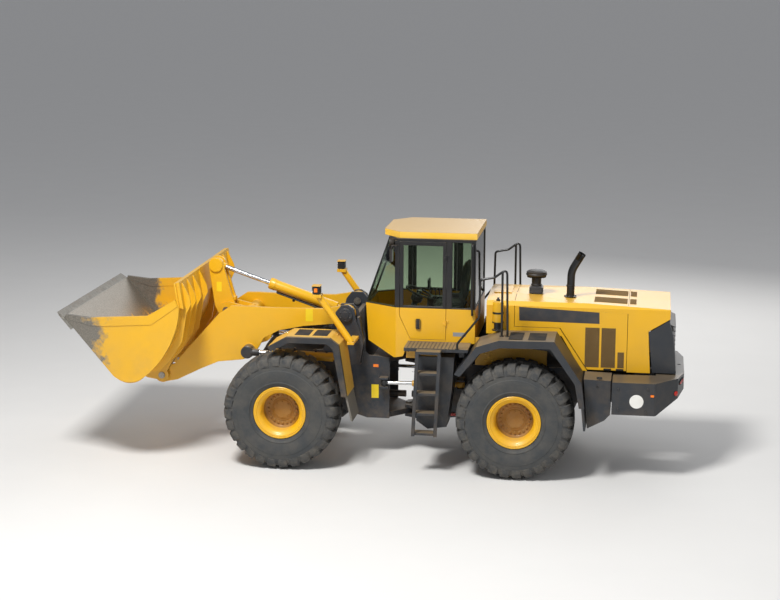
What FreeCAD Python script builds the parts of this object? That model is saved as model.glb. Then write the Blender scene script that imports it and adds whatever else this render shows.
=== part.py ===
# Articulated wheel loader with a Z-bar bucket linkage.
# Millimetres. +X points forwards, +Y to the machine's left, +Z up, wheels stand on Z = 0.
# Places along X are measured from the rear axle and every finished piece is then moved back
# by half of the overall reach, so that the origin lies under the middle of the machine.

import FreeCAD, Part
import Sketcher
import math
import os

Vector = FreeCAD.Vector
doc = FreeCAD.newDocument("WheelLoader")
sheet = doc.addObject("Spreadsheet::Sheet", "Sizes")

# Driving dimensions: name, millimetres or degrees, what it is
SIZES = [
    ("wheelbase", 3450, "rear axle to front axle"),
    ("track_width", 2300, "between the middles of the left and right tyres"),
    ("tyre_radius", 865, "to the lug tips"),
    ("tyre_width", 675, "over the sidewalls"),
    ("lug_depth", 45, "tread groove depth"),
    ("lug_count", 24, "lugs round one tyre"),
    ("lug_share", 0.74, "part of the pitch that a lug fills"),
    ("shoulder_drop", 60, "how far the tread falls to the shoulder edge"),
    ("shoulder_width", 60, "width of the sloping shoulder"),
    ("shoulder_step", 8, "how far the shoulder lies inside the widest sidewall"),
    ("wall_height", 255, "lug tips to the widest part of the sidewall"),
    ("rim_radius", 318, "seat of the tyre bead"),
    ("flange_radius", 393, "outer radius of the rim flange"),
    ("rim_width", 600, "over the flanges"),
    ("rim_wall", 22, "rim band thickness"),
    ("dish_depth", 235, "from the outer flange in to the wheel disc"),
    ("dish_radius", 268, "radius of the deep recess"),
    ("disc_wall", 30, "wheel disc thickness"),
    ("hub_radius", 175, "axle end that the disc bolts to"),
    ("fit_gap", 0.3, "clearance of a running fit"),
    ("seat", 0.3, "gap between a fixed piece and the face that carries it"),
    ("weight_pocket", 408, "depth of the counterweight behind the frame's end"),
    ("hinge_place", 1725, "articulation pins ahead of the rear axle"),
    ("hinge_upper", 1500, "height of the upper articulation joint"),
    ("hinge_lower", 640, "height of the lower articulation joint"),
    ("hinge_lug", 80, "thickness of the front frame's hinge lugs"),
    ("hinge_eye", 150, "radius of the hinge lugs"),
    ("hinge_pin", 50, "radius of the articulation pins"),
    ("yoke_wall", 45, "thickness of the rear frame's yoke plates"),
    ("rail_wall", 40, "thickness of the frame side plates"),
    ("rail_spread", 330, "outer face of the rear frame side plates from the middle"),
    ("front_spread", 480, "outer face of the front frame side plates from the middle"),
    ("tower_spread", 640, "outer face of the outer boom tower plates from the middle"),
    ("boom_pin_place", 2603, "boom pivot ahead of the rear axle"),
    ("boom_pin_height", 2200, "boom pivot above the ground"),
    ("boom_reach", 3030, "boom pivot to bucket pivot"),
    ("boom_droop", 20, "degrees the boom hangs below level"),
    ("boom_plate", 60, "boom side plate thickness"),
    ("boom_spread", 580, "outer face of the boom plates from the middle"),
    ("boom_pin", 55, "radius of the boom pivot pins"),
    ("boom_boss", 135, "radius of the boom's pivot bosses"),
    ("nose_boss", 120, "radius of the boom's nose at the bucket pin"),
    ("bucket_pin", 50, "radius of the bucket pivot pins"),
    ("side_gap", 10, "side clearance between moving plates"),
    ("ear_plate", 40, "thickness of the ears that hold a pin"),
    ("bucket_curl", 50, "degrees the bucket floor points up"),
    ("bucket_width", 3170, "over the side plates"),
    ("bucket_skin", 25, "bucket plate thickness"),
    ("bucket_side", 30, "bucket side plate thickness"),
    ("edge_reach", 1705, "cutting edge ahead of the bucket pin"),
    ("edge_plate", 45, "cutting edge thickness"),
    ("edge_depth", 330, "cutting edge from front to back"),
    ("edge_nose", 12, "thickness left at the tip of the cutting edge"),
    ("floor_drop", 235, "bucket floor below the bucket pin"),
    ("lip_height", 1412, "spill lip above the bucket pin"),
    ("crank_place", 4550, "bellcrank pivot ahead of the rear axle"),
    ("crank_height", 2110, "bellcrank pivot above the ground"),
    ("crank_upper", 709, "bellcrank pivot to the tilt rod pin"),
    ("crank_lean", 76.9, "degrees from forwards to the bellcrank's upper arm"),
    ("crank_lower", 720, "bellcrank pivot to the link pin"),
    ("crank_lower_lean", -113.5, "degrees from forwards to the lower arm"),
    ("crank_plate", 50, "thickness of one bellcrank side plate"),
    ("crank_pin", 50, "radius of the bellcrank pins"),
    ("link_radius", 340, "bucket pin to the link's pin on the bucket"),
    ("link_angle", 150, "degrees from forwards to that pin at rest"),
    ("link_width", 100, "thickness of the link and of the rod eyes"),
    ("tilt_base_place", 2720, "tilt cylinder pin ahead of the rear axle"),
    ("tilt_base_height", 2135, "tilt cylinder pin above the ground"),
    ("tilt_bore", 82, "outer radius of the tilt cylinder barrel"),
    ("tilt_rod", 36, "radius of the tilt rod"),
    ("tilt_barrel", 1230, "tilt pin to the front end of the barrel"),
    ("lift_base_place", 2640, "lift cylinder pin ahead of the rear axle"),
    ("lift_base_height", 1560, "lift cylinder pin above the ground"),
    ("lift_eye_place", 4091, "lift rod pin ahead of the rear axle"),
    ("lift_eye_height", 1596, "lift rod pin above the ground"),
    ("lift_spread", 716, "lift cylinders from the middle"),
    ("lift_bore", 68, "outer radius of the lift barrels"),
    ("lift_rod", 38, "radius of the lift rods"),
    ("lift_barrel", 1060, "lift pin to the front end of the barrel"),
    ("lift_pin", 42, "radius of the lift cylinder pins"),
    ("steer_base_place", 875, "steering cylinder pin ahead of the rear axle"),
    ("steer_eye_place", 2025, "steering rod pin ahead of the rear axle"),
    ("steer_height", 1165, "steering cylinders above the ground"),
    ("steer_base_side", 500, "steering cylinder pin from the middle"),
    ("steer_eye_side", 560, "steering rod pin from the middle"),
    ("steer_bore", 42, "outer radius of the steering barrels"),
    ("steer_pin", 25, "radius of the steering cylinder pins"),
    ("engine_bottom", 1180, "underside of the engine block"),
    ("steer_rod", 28, "radius of the steering rods"),
    ("steer_barrel", 750, "steering pin to the front end of the barrel"),
    ("axle_radius", 175, "radius of the axle tubes"),
    ("axle_bowl", 300, "radius of the axle's middle housing"),
    ("cab_half", 740, "cab side from the middle"),
    ("cab_wall", 60, "thickness of the cab walls and posts"),
    ("cab_rear", 650, "back of the cab ahead of the rear axle"),
    ("door_rear", 1085, "door hinge edge ahead of the rear axle"),
    ("door_front", 1770, "door front edge ahead of the rear axle"),
    ("cab_corner", 1830, "front corner post ahead of the rear axle"),
    ("cab_front", 2330, "cab front at the sill"),
    ("nose_half", 420, "half width of the flat cab front"),
    ("door_top", 3354, "top of the doors"),
    ("ring_height", 40, "height of the cab's top ring"),
    ("lid_swing", 2440, "hinge line of the engine side doors above the ground, at their front"),
    ("lid_front", 70, "front edge of the engine side doors ahead of the rear axle"),
    ("lid_rear", 1575, "back edge of the engine side doors behind the rear axle"),
    ("screen_top", 1980, "windscreen top ahead of the rear axle"),
    ("cab_floor", 1850, "underside of the cab floor"),
    ("door_sill", 1895, "bottom of the door"),
    ("glass_sill", 2375, "bottom of the cab glass"),
    ("cab_eaves", 3400, "underside of the roof"),
    ("roof_rise", 95, "roof thickness"),
    ("roof_half", 700, "half width of the roof"),
    ("glass_wall", 8, "glass thickness"),
    ("seam_gap", 6, "gap round doors and lids"),
    ("hood_half", 700, "engine hood side from the middle"),
    ("hood_front", 487, "engine hood front ahead of the rear axle"),
    ("hood_rear", 2190, "engine hood back behind the rear axle"),
    ("hood_bottom", 1500, "lower edge of the hood"),
    ("hood_shoulder", 2500, "side top edge of the hood at the front"),
    ("hood_fall", 110, "how far the hood drops towards the back"),
    ("hood_crown", 60, "middle of the hood above its side edges"),
    ("hood_skin", 30, "hood panel thickness"),
    ("grille_place", 1880, "side panel of the radiator grille behind the rear axle"),
    ("weight_rear", 2418, "rearmost face of the counterweight behind the rear axle"),
    ("weight_half", 1290, "half width of the counterweight"),
    ("weight_top", 1485, "top of the counterweight"),
    ("hitch_pin", 26, "radius of the hole for the towing pin"),
    ("weight_bottom", 1010, "underside of the counterweight"),
    ("fender_half", 1500, "outer edge of the fenders from the middle"),
    ("fender_inner", 790, "inner edge of the fenders from the middle"),
    ("deck_height", 1870, "top of the side decks"),
    ("deck_thick", 50, "thickness of the side decks"),
    ("ladder_half", 1400, "ladder rails from the middle"),
    ("pipe_radius", 17, "radius of the hand rails"),
    ("stack_place", 716, "exhaust behind the rear axle"),
    ("stack_side", 250, "exhaust left of the middle"),
    ("stack_radius", 60, "radius of the exhaust pipe"),
    ("lamp_place", 2960, "headlamp middle ahead of the rear axle"),
    ("lamp_height", 2655, "headlamp middle above the ground"),
    ("lamp_side", 1050, "headlamp from the middle"),
]

for row, (alias, amount, meaning) in enumerate(SIZES, start=1):
    sheet.set("A%d" % row, alias)
    sheet.set("B%d" % row, str(amount))
    sheet.set("C%d" % row, meaning)
    sheet.setAlias("B%d" % row, alias)
doc.recompute()


class Size:
    """A number together with the sheet expression that gives it, so that sums of sizes stay bound."""

    def __init__(self, value, text):
        self.value = value
        self.text = text

    def __add__(self, other):
        other = as_size(other)
        return Size(self.value + other.value, "(%s + %s)" % (self.text, other.text))

    def __sub__(self, other):
        other = as_size(other)
        return Size(self.value - other.value, "(%s - %s)" % (self.text, other.text))

    def __mul__(self, other):
        other = as_size(other)
        return Size(self.value * other.value, "(%s * %s)" % (self.text, other.text))

    def __truediv__(self, other):
        other = as_size(other)
        return Size(self.value / other.value, "(%s / %s)" % (self.text, other.text))

    def __radd__(self, other):
        return as_size(other) + self

    def __rsub__(self, other):
        return as_size(other) - self

    def __rmul__(self, other):
        return as_size(other) * self

    def __neg__(self):
        return Size(-self.value, "(-%s)" % self.text)


def as_size(item):
    if isinstance(item, Size):
        return item
    return Size(float(item), "(%r)" % float(item))


def cosine(angle):
    angle = as_size(angle)
    return Size(math.cos(math.radians(angle.value)), "cos(%s)" % angle.text)


def sine(angle):
    angle = as_size(angle)
    return Size(math.sin(math.radians(angle.value)), "sin(%s)" % angle.text)


def slope(rise, run):
    """Degrees of a line that climbs by rise over run."""
    rise, run = as_size(rise), as_size(run)
    degrees = math.degrees(math.atan2(rise.value, run.value))
    return Size(degrees, "(atan2(%s; %s) / (1 deg))" % (rise.text, run.text))


def distance(run, rise):
    run, rise = as_size(run), as_size(rise)
    return Size(math.hypot(run.value, rise.value), "hypot(%s; %s)" % (run.text, rise.text))


class Sheet:
    """Reads the sheet's cells by name: S.wheelbase is the bound wheelbase."""

    def __getattr__(self, alias):
        return Size(float(sheet.get(alias)), "Sizes.%s" % alias)


S = Sheet()


def bind(item, prop, size):
    item.setExpression(prop, as_size(size).text)


def place(item, x=0, y=0, z=0, axis=None, angle=0):
    """Puts an object at a bound place, turned about an axis by a bound angle."""
    if axis is not None:
        item.Placement = FreeCAD.Placement(Vector(), FreeCAD.Rotation(Vector(*axis), 1))
        bind(item, "Placement.Rotation.Angle", angle)
    for letter, size in zip("xyz", (x, y, z)):
        bind(item, "Placement.Base." + letter, size)
    return item


def numbered(kind, name):
    return doc.addObject(kind, name)


def box(name, x0, x1, y0, y1, z0, z1):
    item = numbered("Part::Box", name)
    bind(item, "Length", as_size(x1) - x0)
    bind(item, "Width", as_size(y1) - y0)
    bind(item, "Height", as_size(z1) - z0)
    return place(item, x0, y0, z0)


TURNS = {"X": (Vector(0, 1, 0), 90), "Y": (Vector(1, 0, 0), -90), "Z": (Vector(0, 0, 1), 0)}


def rod(name, along, x, y, z, radius, length):
    """A cylinder that starts at x, y, z and runs along the positive X, Y or Z axis."""
    item = numbered("Part::Cylinder", name)
    turn_axis, turn = TURNS[along]
    item.Placement = FreeCAD.Placement(Vector(), FreeCAD.Rotation(turn_axis, turn))
    bind(item, "Radius", radius)
    bind(item, "Height", length)
    return place(item, x, y, z)


def fix_corners(sketch, corners, arcs):
    """Closed outline through corners. arcs gives the bound radius of the edge after a corner,
    positive where it bulges to the left of the way round and negative to the right."""
    count = len(corners)
    points = [Vector(as_size(u).value, as_size(v).value, 0) for u, v in corners]
    for index in range(count):
        start, end = points[index], points[(index + 1) % count]
        if index in arcs:
            radius = as_size(arcs[index]).value
            chord = end - start
            side = Vector(-chord.y, chord.x, 0).normalize()
            rise = abs(radius) - math.sqrt(max(radius ** 2 - (chord.Length / 2) ** 2, 0))
            middle = (start + end) * 0.5 + side * math.copysign(rise, radius)
            if (middle - start).cross(end - start).z < 0:
                start, end = end, start
            sketch.addGeometry(Part.Arc(start, middle, end), False)
        else:
            sketch.addGeometry(Part.LineSegment(start, end), False)
    ends = [(edge.StartPoint, edge.EndPoint) for edge in sketch.Geometry]

    def which(index, point):
        return 1 if ends[index][0].distanceToPoint(point) < 1e-6 else 2

    for index in range(count):
        follower = (index + 1) % count
        meet = points[follower]
        sketch.addConstraint(Sketcher.Constraint(
            "Coincident", index, which(index, meet), follower, which(follower, meet)))
    for index, (u, v) in enumerate(corners):
        at = which(index, points[index])
        for kind, size in (("DistanceX", u), ("DistanceY", v)):
            number = sketch.addConstraint(Sketcher.Constraint(
                kind, -1, 1, index, at, as_size(size).value))
            sketch.setExpression("Constraints[%d]" % number, as_size(size).text)
    for index, radius in arcs.items():
        radius = as_size(radius)
        number = sketch.addConstraint(Sketcher.Constraint("Radius", index, abs(radius.value)))
        sketch.setExpression("Constraints[%d]" % number, "abs(%s)" % radius.text)
    return sketch


SKETCH_TURNS = {
    "side": FreeCAD.Rotation(Vector(1, 0, 0), 90),
    "plan": FreeCAD.Rotation(),
    "front": FreeCAD.Rotation(Vector(1, 1, 1), 120),
}
EXTRUDE_DIRECTIONS = {"side": Vector(0, 1, 0), "plan": Vector(0, 0, 1), "front": Vector(1, 0, 0)}
START_LETTERS = {"side": "y", "plan": "z", "front": "x"}


def prism(name, view, corners, start, end, arcs=None):
    """An outline in side (X, Z), plan (X, Y) or front (Y, Z) view, extruded from start to end."""
    sketch = numbered("Sketcher::SketchObject", name + "_outline")
    sketch.Placement = FreeCAD.Placement(Vector(), SKETCH_TURNS[view])
    fix_corners(sketch, corners, arcs or {})
    bind(sketch, "Placement.Base." + START_LETTERS[view], start)
    item = numbered("Part::Extrusion", name)
    item.Base = sketch
    item.DirMode = "Custom"
    item.Dir = EXTRUDE_DIRECTIONS[view]
    item.Solid = True
    bind(item, "LengthFwd", as_size(end) - start)
    return item


def fuse(name, *items):
    if len(items) == 1:
        return items[0]
    item = numbered("Part::MultiFuse", name)
    item.Shapes = list(items)
    return item


def cut(name, base, *tools):
    item = numbered("Part::Cut", name)
    item.Base = base
    item.Tool = fuse(name + "_tools", *tools)
    return item


def common(name, first, second):
    item = numbered("Part::MultiCommon", name)
    item.Shapes = [first, second]
    return item


def mirrored(name, item):
    """The same piece on the machine's right side."""
    twin = numbered("Part::Mirroring", name)
    twin.Source = item
    twin.Normal = Vector(0, 1, 0)
    return twin


def both_sides(name, item):
    return fuse(name, item, mirrored(name + "_right", item))


def group(name, *items):
    """Separate solids of one kind that share a node."""
    item = numbered("Part::Compound", name)
    item.Links = list(items)
    return item


FINISHED = []


def finish(name, item):
    """Names a finished sub-part and moves it from the rear axle's frame to the machine's."""
    if item.TypeId in ("Part::Box", "Part::Cylinder"):
        item = group(name + "_moved", item)
    item.Label = name
    bind(item, "Placement.Base.x", -middle)
    FINISHED.append(item)
    return item


def finish_at(name, item, x, y, z, axis=None, angle=0):
    """Names a sub-part drawn about its own pivot, and puts the pivot in its place."""
    item.Label = name
    place(item, as_size(x) - middle, y, z, axis, angle)
    FINISHED.append(item)
    return item


# Places worked out from the driving dimensions
bucket_pin_place = S.boom_pin_place + S.boom_reach * cosine(S.boom_droop)
bucket_pin_height = S.boom_pin_height - S.boom_reach * sine(S.boom_droop)
front_reach = bucket_pin_place + S.edge_reach * cosine(S.bucket_curl) + (
    (S.floor_drop + S.edge_plate - S.edge_nose) * sine(S.bucket_curl))
middle = (front_reach - S.weight_rear) / 2
tilt_eye_place = S.crank_place + S.crank_upper * cosine(S.crank_lean)
tilt_eye_height = S.crank_height + S.crank_upper * sine(S.crank_lean)
link_pin_place = S.crank_place + S.crank_lower * cosine(S.crank_lower_lean)
link_pin_height = S.crank_height + S.crank_lower * sine(S.crank_lower_lean)
link_end_place = bucket_pin_place + S.link_radius * cosine(S.link_angle)
link_end_height = bucket_pin_height + S.link_radius * sine(S.link_angle)


def slant(name, x, y, z, angle, radius, start, length):
    """A cylinder in the side view, turned up from +X by an angle about x, z, from start on."""
    item = numbered("Part::Cylinder", name)
    turned = FreeCAD.Rotation(Vector(0, 1, 0), 90 - as_size(angle).value)
    item.Placement = FreeCAD.Placement(Vector(), turned)
    bind(item, "Placement.Rotation.Angle", 90 - as_size(angle))
    bind(item, "Radius", radius)
    bind(item, "Height", length)
    return place(item, as_size(x) + as_size(start) * cosine(angle), y,
                 as_size(z) + as_size(start) * sine(angle))


def eye(name, x, z, radius, y0, y1):
    """A round boss across the machine at x, z."""
    return rod(name, "Y", x, y0, z, radius, as_size(y1) - y0)


def pipe(name, points, radius, bend):
    """A round bar through points with its corners bent to a radius; sizes come from the sheet."""
    spots = [Vector(*[as_size(value).value for value in point]) for point in points]
    radius, bend = as_size(radius).value, as_size(bend).value
    edges = []
    start = spots[0]
    for index in range(1, len(spots) - 1):
        corner = spots[index]
        back = (spots[index - 1] - corner).normalize()
        onward = (spots[index + 1] - corner).normalize()
        half = (math.pi - back.getAngle(onward)) / 2
        reach = bend * math.tan(half)
        first, last = corner + back * reach, corner + onward * reach
        inward = (back + onward).normalize()
        middle_point = corner + inward * (bend / math.cos(half) - bend)
        edges.append(Part.LineSegment(start, first).toShape())
        edges.append(Part.Arc(first, middle_point, last).toShape())
        start = last
    edges.append(Part.LineSegment(start, spots[-1]).toShape())
    path = Part.Wire(edges)
    ring = Part.Wire([Part.Circle(spots[0], spots[1] - spots[0], radius).toShape()])
    item = numbered("Part::Feature", name)
    item.Shape = path.makePipeShell([ring], True, False)
    return item


# Wheels

def wheel_outline(name, corners):
    sketch = numbered("Sketcher::SketchObject", name + "_outline")
    sketch.Placement = FreeCAD.Placement(Vector(), FreeCAD.Rotation(Vector(0, 0, 1), 0))
    return fix_corners(sketch, corners, {})


def turned(name, corners):
    """A ring drawn as radius and distance across, turned about the machine's Y axis."""
    sketch = wheel_outline(name, corners)
    item = numbered("Part::Revolution", name)
    item.Source = sketch
    item.Axis = Vector(0, 1, 0)
    item.Angle = 360
    item.Solid = True
    return item


def toothed_outline(radius, floor, across):
    """Corners of the tread at one distance across the tyre: lugs with grooves between."""
    count = int(S.lug_count.value)
    half_lug = math.pi * S.lug_share.value / count
    half_gap = math.pi / count - half_lug
    corners = []
    for index in range(count):
        middle_angle = 2 * math.pi * index / count
        for angle, reach in (
                (middle_angle - half_lug, radius / math.cos(half_lug)),
                (middle_angle + half_lug, radius / math.cos(half_lug)),
                (middle_angle + half_lug + half_gap * 0.25, floor),
                (middle_angle + half_lug + half_gap * 1.75, floor)):
            corners.append(Vector(reach * math.cos(angle), across, reach * math.sin(angle)))
    return corners


def flat_face(corners):
    return Part.Face(Part.makePolygon(corners + corners[:1]))


def flat_sided(outlines):
    """A solid of flat faces through outlines that have the same number of corners."""
    faces = [flat_face(outlines[0]), flat_face(outlines[-1])]
    for first, second in zip(outlines, outlines[1:]):
        for index in range(len(first)):
            faces.append(flat_face([first[index - 1], first[index], second[index], second[index - 1]]))
    solid = Part.Solid(Part.Shell(faces))
    if solid.Volume < 0:
        solid.reverse()
    return solid


def many_sided(name, sections):
    """A ring with one flat under each lug, through sections given as radius and distance across."""
    count = int(S.lug_count.value)
    item = numbered("Part::Feature", name)
    item.Shape = flat_sided([
        [Vector(as_size(radius).value * math.cos(2 * math.pi * (corner + 0.5) / count),
                as_size(across).value,
                as_size(radius).value * math.sin(2 * math.pi * (corner + 0.5) / count))
         for corner in range(count)]
        for radius, across in sections])
    return item


def both_ways(sections):
    """Sections for one half, outermost first, with their mirror image behind them."""
    return ([(radius, -as_size(across)) for radius, across in sections]
            + [(radius, across) for radius, across in reversed(sections)])


def lugs(name, top, floor, drop, edge, side):
    """Toothed bands over the tread and down both shoulders."""
    item = numbered("Part::Feature", name)
    low = (top - drop) / top
    item.Shape = flat_sided([
        toothed_outline(top * low, floor * low, -side), toothed_outline(top, floor, -edge),
        toothed_outline(top, floor, edge), toothed_outline(top * low, floor * low, side)])
    return item


def tyre(name):
    """Carcass of flats, hollow over the rim, with shoulder-to-shoulder lugs fused to it."""
    half = S.tyre_width / 2
    tread_edge = half - S.shoulder_width
    wall_edge = half - S.shoulder_step
    bulge = S.tyre_radius - S.wall_height
    groove = S.tyre_radius - S.lug_depth
    carcass = many_sided(name + "_carcass", both_ways([
        (S.flange_radius + 12, tread_edge), (bulge, half), (groove - S.shoulder_drop, wall_edge),
        (groove - S.shoulder_step, tread_edge)]))
    bead = S.rim_width / 2
    around = 1 / math.cos(math.pi / S.lug_count.value)
    bore = many_sided(name + "_bore", both_ways([
        ((S.flange_radius + 1) * around, tread_edge + 1), ((S.flange_radius + 1) * around, bead - 26),
        ((S.rim_radius + 8) * around, bead - 46), (S.rim_radius * around, bead - 76)]))
    core = many_sided(name + "_core", both_ways([(bulge + S.shoulder_drop, half)]))
    bands = lugs(name + "_lugs", S.tyre_radius.value, groove.value, S.shoulder_drop.value,
                 tread_edge.value, wall_edge.value)
    tread = cut(name + "_tread", bands, core)
    return cut(name + "_hollow", fuse(name + "_whole", carcass, tread), bore)


def rim(name, outward):
    """A three-piece rim: band, flanges and a deep wheel disc, open to the outer side."""
    half = S.rim_width / 2
    band = S.rim_radius - S.rim_wall
    dish = half - S.dish_depth
    shape = [
        (S.flange_radius, half), (S.flange_radius, half - 25), (S.rim_radius + 8, half - 45),
        (S.rim_radius - S.fit_gap, half - 75), (S.rim_radius - S.fit_gap, -half + 75),
        (S.rim_radius + 8, -half + 45), (S.flange_radius, -half + 25), (S.flange_radius, -half),
        (S.rim_radius, -half), (band, -half + 60), (band, dish - S.disc_wall - 60),
        (S.hub_radius, dish - S.disc_wall), (0, dish - S.disc_wall), (0, dish),
        (S.dish_radius - 20, dish), (S.dish_radius, dish + 25), (S.dish_radius + 14, half - 70),
        (S.flange_radius - 50, half - 30), (S.flange_radius - 25, half)]
    if outward < 0:
        shape = [(radius, -as_size(across)) for radius, across in shape]
    return turned(name + "_turned", shape)


WHEELS = (
    ("front_left", S.wheelbase, 1), ("front_right", S.wheelbase, -1),
    ("rear_left", as_size(0), 1), ("rear_right", as_size(0), -1))
for wheel, along, outward in WHEELS:
    across = S.track_width / 2 * outward
    finish_at("tyre_" + wheel, tyre("tyre_" + wheel + "_body"), along, across, S.tyre_radius)
    finish_at("rim_" + wheel, rim("rim_" + wheel + "_body", outward), along, across, S.tyre_radius)


# Axles: tapering arms each side of the middle housing, with the hub ends that the discs bolt to

def axle(name, along):
    hub_face = S.track_width / 2 + S.rim_width / 2 - S.dish_depth - S.disc_wall
    arms = turned(name + "_arms", [
        (0, -hub_face), (S.hub_radius - 25, -hub_face), (S.hub_radius - 25, -hub_face + 90),
        (S.hub_radius + 50, -hub_face + 110), (S.hub_radius + 50, -hub_face + 300),
        (S.axle_radius - 30, -hub_face + 380), (S.axle_radius, -S.axle_bowl + 15),
        (S.axle_bowl - 20, -S.axle_bowl + 110), (S.axle_bowl, -60), (S.axle_bowl, 60),
        (S.axle_bowl - 20, S.axle_bowl - 110), (S.axle_radius, S.axle_bowl - 15),
        (S.axle_radius - 30, hub_face - 380), (S.hub_radius + 50, hub_face - 300),
        (S.hub_radius + 50, hub_face - 110), (S.hub_radius - 25, hub_face - 90),
        (S.hub_radius - 25, hub_face), (0, hub_face)])
    return arms


rear_nose = rod("rear_axle_nose", "X", 0, 0, 0, 110, S.axle_bowl + 120)
front_nose = rod("front_axle_nose", "X", -(S.axle_bowl + 120), 0, 0, 110, S.axle_bowl + 120)
finish_at("rear_axle", fuse("rear_axle_whole", axle("rear_axle", 0), rear_nose),
          0, 0, S.tyre_radius)
finish_at("front_axle", fuse("front_axle_whole", axle("front_axle", 0), front_nose),
          S.wheelbase, 0, S.tyre_radius)


# Rear frame: two side plates with the yokes that hold the articulation pins

rail_in = S.rail_spread - S.rail_wall
BEAM_PLACES = (760, 1405)
rail_end = -S.weight_rear + S.weight_pocket + S.seat
rail = prism("rail_left", "side", [
    (rail_end, 1010), (rail_end, 1330), (-900, 1440), (900, 1440),
    (S.hinge_place - 240, S.hinge_upper + 90), (S.hinge_place - 240, S.hinge_lower - 90),
    (900, 620), (450, 1120), (-450, 1120), (-900, 900)], rail_in, S.rail_spread)
yokes = []
for label, level in (("upper", S.hinge_upper), ("lower", S.hinge_lower)):
    for side, offset in (("top", S.hinge_lug / 2 + 5), ("bottom", -S.hinge_lug / 2 - 5 - S.yoke_wall)):
        plate = prism("yoke_%s_%s" % (label, side), "plan", [
            (S.hinge_place - 420, -rail_in), (S.hinge_place - 200, -rail_in),
            (S.hinge_place + 40, -S.hinge_eye), (S.hinge_place + 40, S.hinge_eye),
            (S.hinge_place - 200, rail_in), (S.hinge_place - 420, rail_in)],
            level + offset, level + offset + S.yoke_wall)
        yokes.append(plate)
back_plate = box("hinge_back_plate", S.hinge_place - 420, S.hinge_place - 380, -rail_in, rail_in,
                 S.hinge_lower - 90, S.hinge_upper + 90)
shaft_way = rod("shaft_way", "X", S.hinge_place - 500, 0, S.tyre_radius + 60, 160, 200)
cross_rear = box("cross_rear", -1000, -960, -rail_in, rail_in, 1000, S.engine_bottom - S.seat)
cross_front = box("cross_front", 100, 140, -rail_in, rail_in, S.engine_bottom - 30,
                  S.engine_bottom - S.seat)
axle_seat = both_sides("axle_seats", box(
    "axle_seat", -170, 170, rail_in, S.rail_spread + 90, S.tyre_radius + S.axle_radius - 70, 1160))
rear_plates = fuse("rear_frame_plates", rail, mirrored("rail_right", rail),
                   cut("hinge_back", back_plate, shaft_way), cross_rear, cross_front, *yokes)
pin_holes = rod("pin_holes", "Z", S.hinge_place, 0, S.hinge_lower - 200, S.hinge_pin + S.fit_gap,
                S.hinge_upper - S.hinge_lower + 400)
cab_mounts = both_sides("cab_mounts_both", fuse("cab_mounts", *[
    box("cab_mount_%d" % start, start, start + 80, rail_in, S.rail_spread, 1400, S.cab_floor - S.seat)
    for start in BEAM_PLACES]))
hood_posts = []
for label, start, low, level in (("front", 340, 1400, 2090), ("rear", -1760, 1320, 1580)):
    hood_posts.append(both_sides("hood_post_%s_both" % label, fuse(
        "hood_post_" + label,
        box("hood_post_%s_up" % label, start, start + 80, rail_in, S.rail_spread, low, level),
        box("hood_post_%s_out" % label, start, start + 80, rail_in, S.hood_half - S.hood_skin - S.seat,
            level - 60, level))))
steer_base_ears = both_sides("steer_base_ears_both", fuse("steer_base_ears", *[
    box("steer_base_ear_" + label, S.steer_base_place - 60, S.steer_base_place + 60,
        S.rail_spread - 1, S.steer_base_side + 55, S.steer_height + low, S.steer_height + low + 30)
    for label, low in (("top", 52), ("bottom", -82))]))
steer_pin_ways = both_sides("steer_pin_ways", rod(
    "steer_pin_way", "Z", S.steer_base_place, S.steer_base_side, S.steer_height - 150,
    S.steer_pin + S.fit_gap, 300))
seats_bored = cut("axle_seats_cut", axle_seat, rod(
    "axle_seat_way", "Y", 0, -S.cab_half, S.tyre_radius, S.axle_radius + S.fit_gap, 2 * S.cab_half))
finish("rear_frame", fuse("rear_frame_whole", cut("rear_frame_cut", rear_plates, pin_holes), seats_bored,
                          cab_mounts, cut("steer_base_cut", steer_base_ears, steer_pin_ways), *hood_posts))
finish("frame_pins", group("frame_pins_all", *[
    rod("hinge_pin_" + label, "Z", S.hinge_place, 0, level - S.hinge_lug / 2 - S.yoke_wall - 25,
        S.hinge_pin, S.hinge_lug + 2 * S.yoke_wall + 50)
    for label, level in (("upper", S.hinge_upper), ("lower", S.hinge_lower))],
    both_sides("steer_pins", rod("steer_pin_left", "Z", S.steer_base_place, S.steer_base_side,
                                 S.steer_height - 90, S.steer_pin, 180))))


# Front frame: side plates with hinge lugs, axle seats and the twin towers that hold the boom

front_in = S.front_spread - S.rail_wall
tower_in = S.tower_spread - S.rail_wall
boss_out = S.boom_pin + 95
front_plate = prism("front_plate", "side", [
    (S.hinge_place + 235, S.hinge_upper + 40), (2275, S.hinge_upper + 60), (2330, 1620),
    (2335, 1900), (S.boom_pin_place - 160, S.boom_pin_height + 60),
    (S.boom_pin_place - 90, S.boom_pin_height + 140), (S.boom_pin_place + 90, S.boom_pin_height + 140),
    (S.boom_pin_place + 170, S.boom_pin_height + 40), (2860, 1900), (3060, 1420),
    (S.wheelbase + 300, 1330), (S.wheelbase + 350, 1120), (S.wheelbase + 250, 1060),
    (S.wheelbase - 250, 1060), (3000, 800), (2300, S.hinge_lower - 50),
    (S.hinge_place + 235, S.hinge_lower - 50)], front_in, S.front_spread)
tower_plate = prism("tower_plate", "side", [
    (S.boom_pin_place - 150, S.boom_pin_height - 40), (S.boom_pin_place - 130, S.boom_pin_height + 90),
    (S.boom_pin_place - 40, S.boom_pin_height + 150), (S.boom_pin_place + 60, S.boom_pin_height + 145),
    (S.boom_pin_place + 150, S.boom_pin_height + 40), (2740, 1900),
    (S.lift_base_place + 130, S.lift_base_height + 40), (S.lift_base_place + 80, S.lift_base_height - 110),
    (S.lift_base_place - 100, S.lift_base_height - 140), (2380, 1480), (2330, 1780)],
    tower_in, S.tower_spread)
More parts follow.
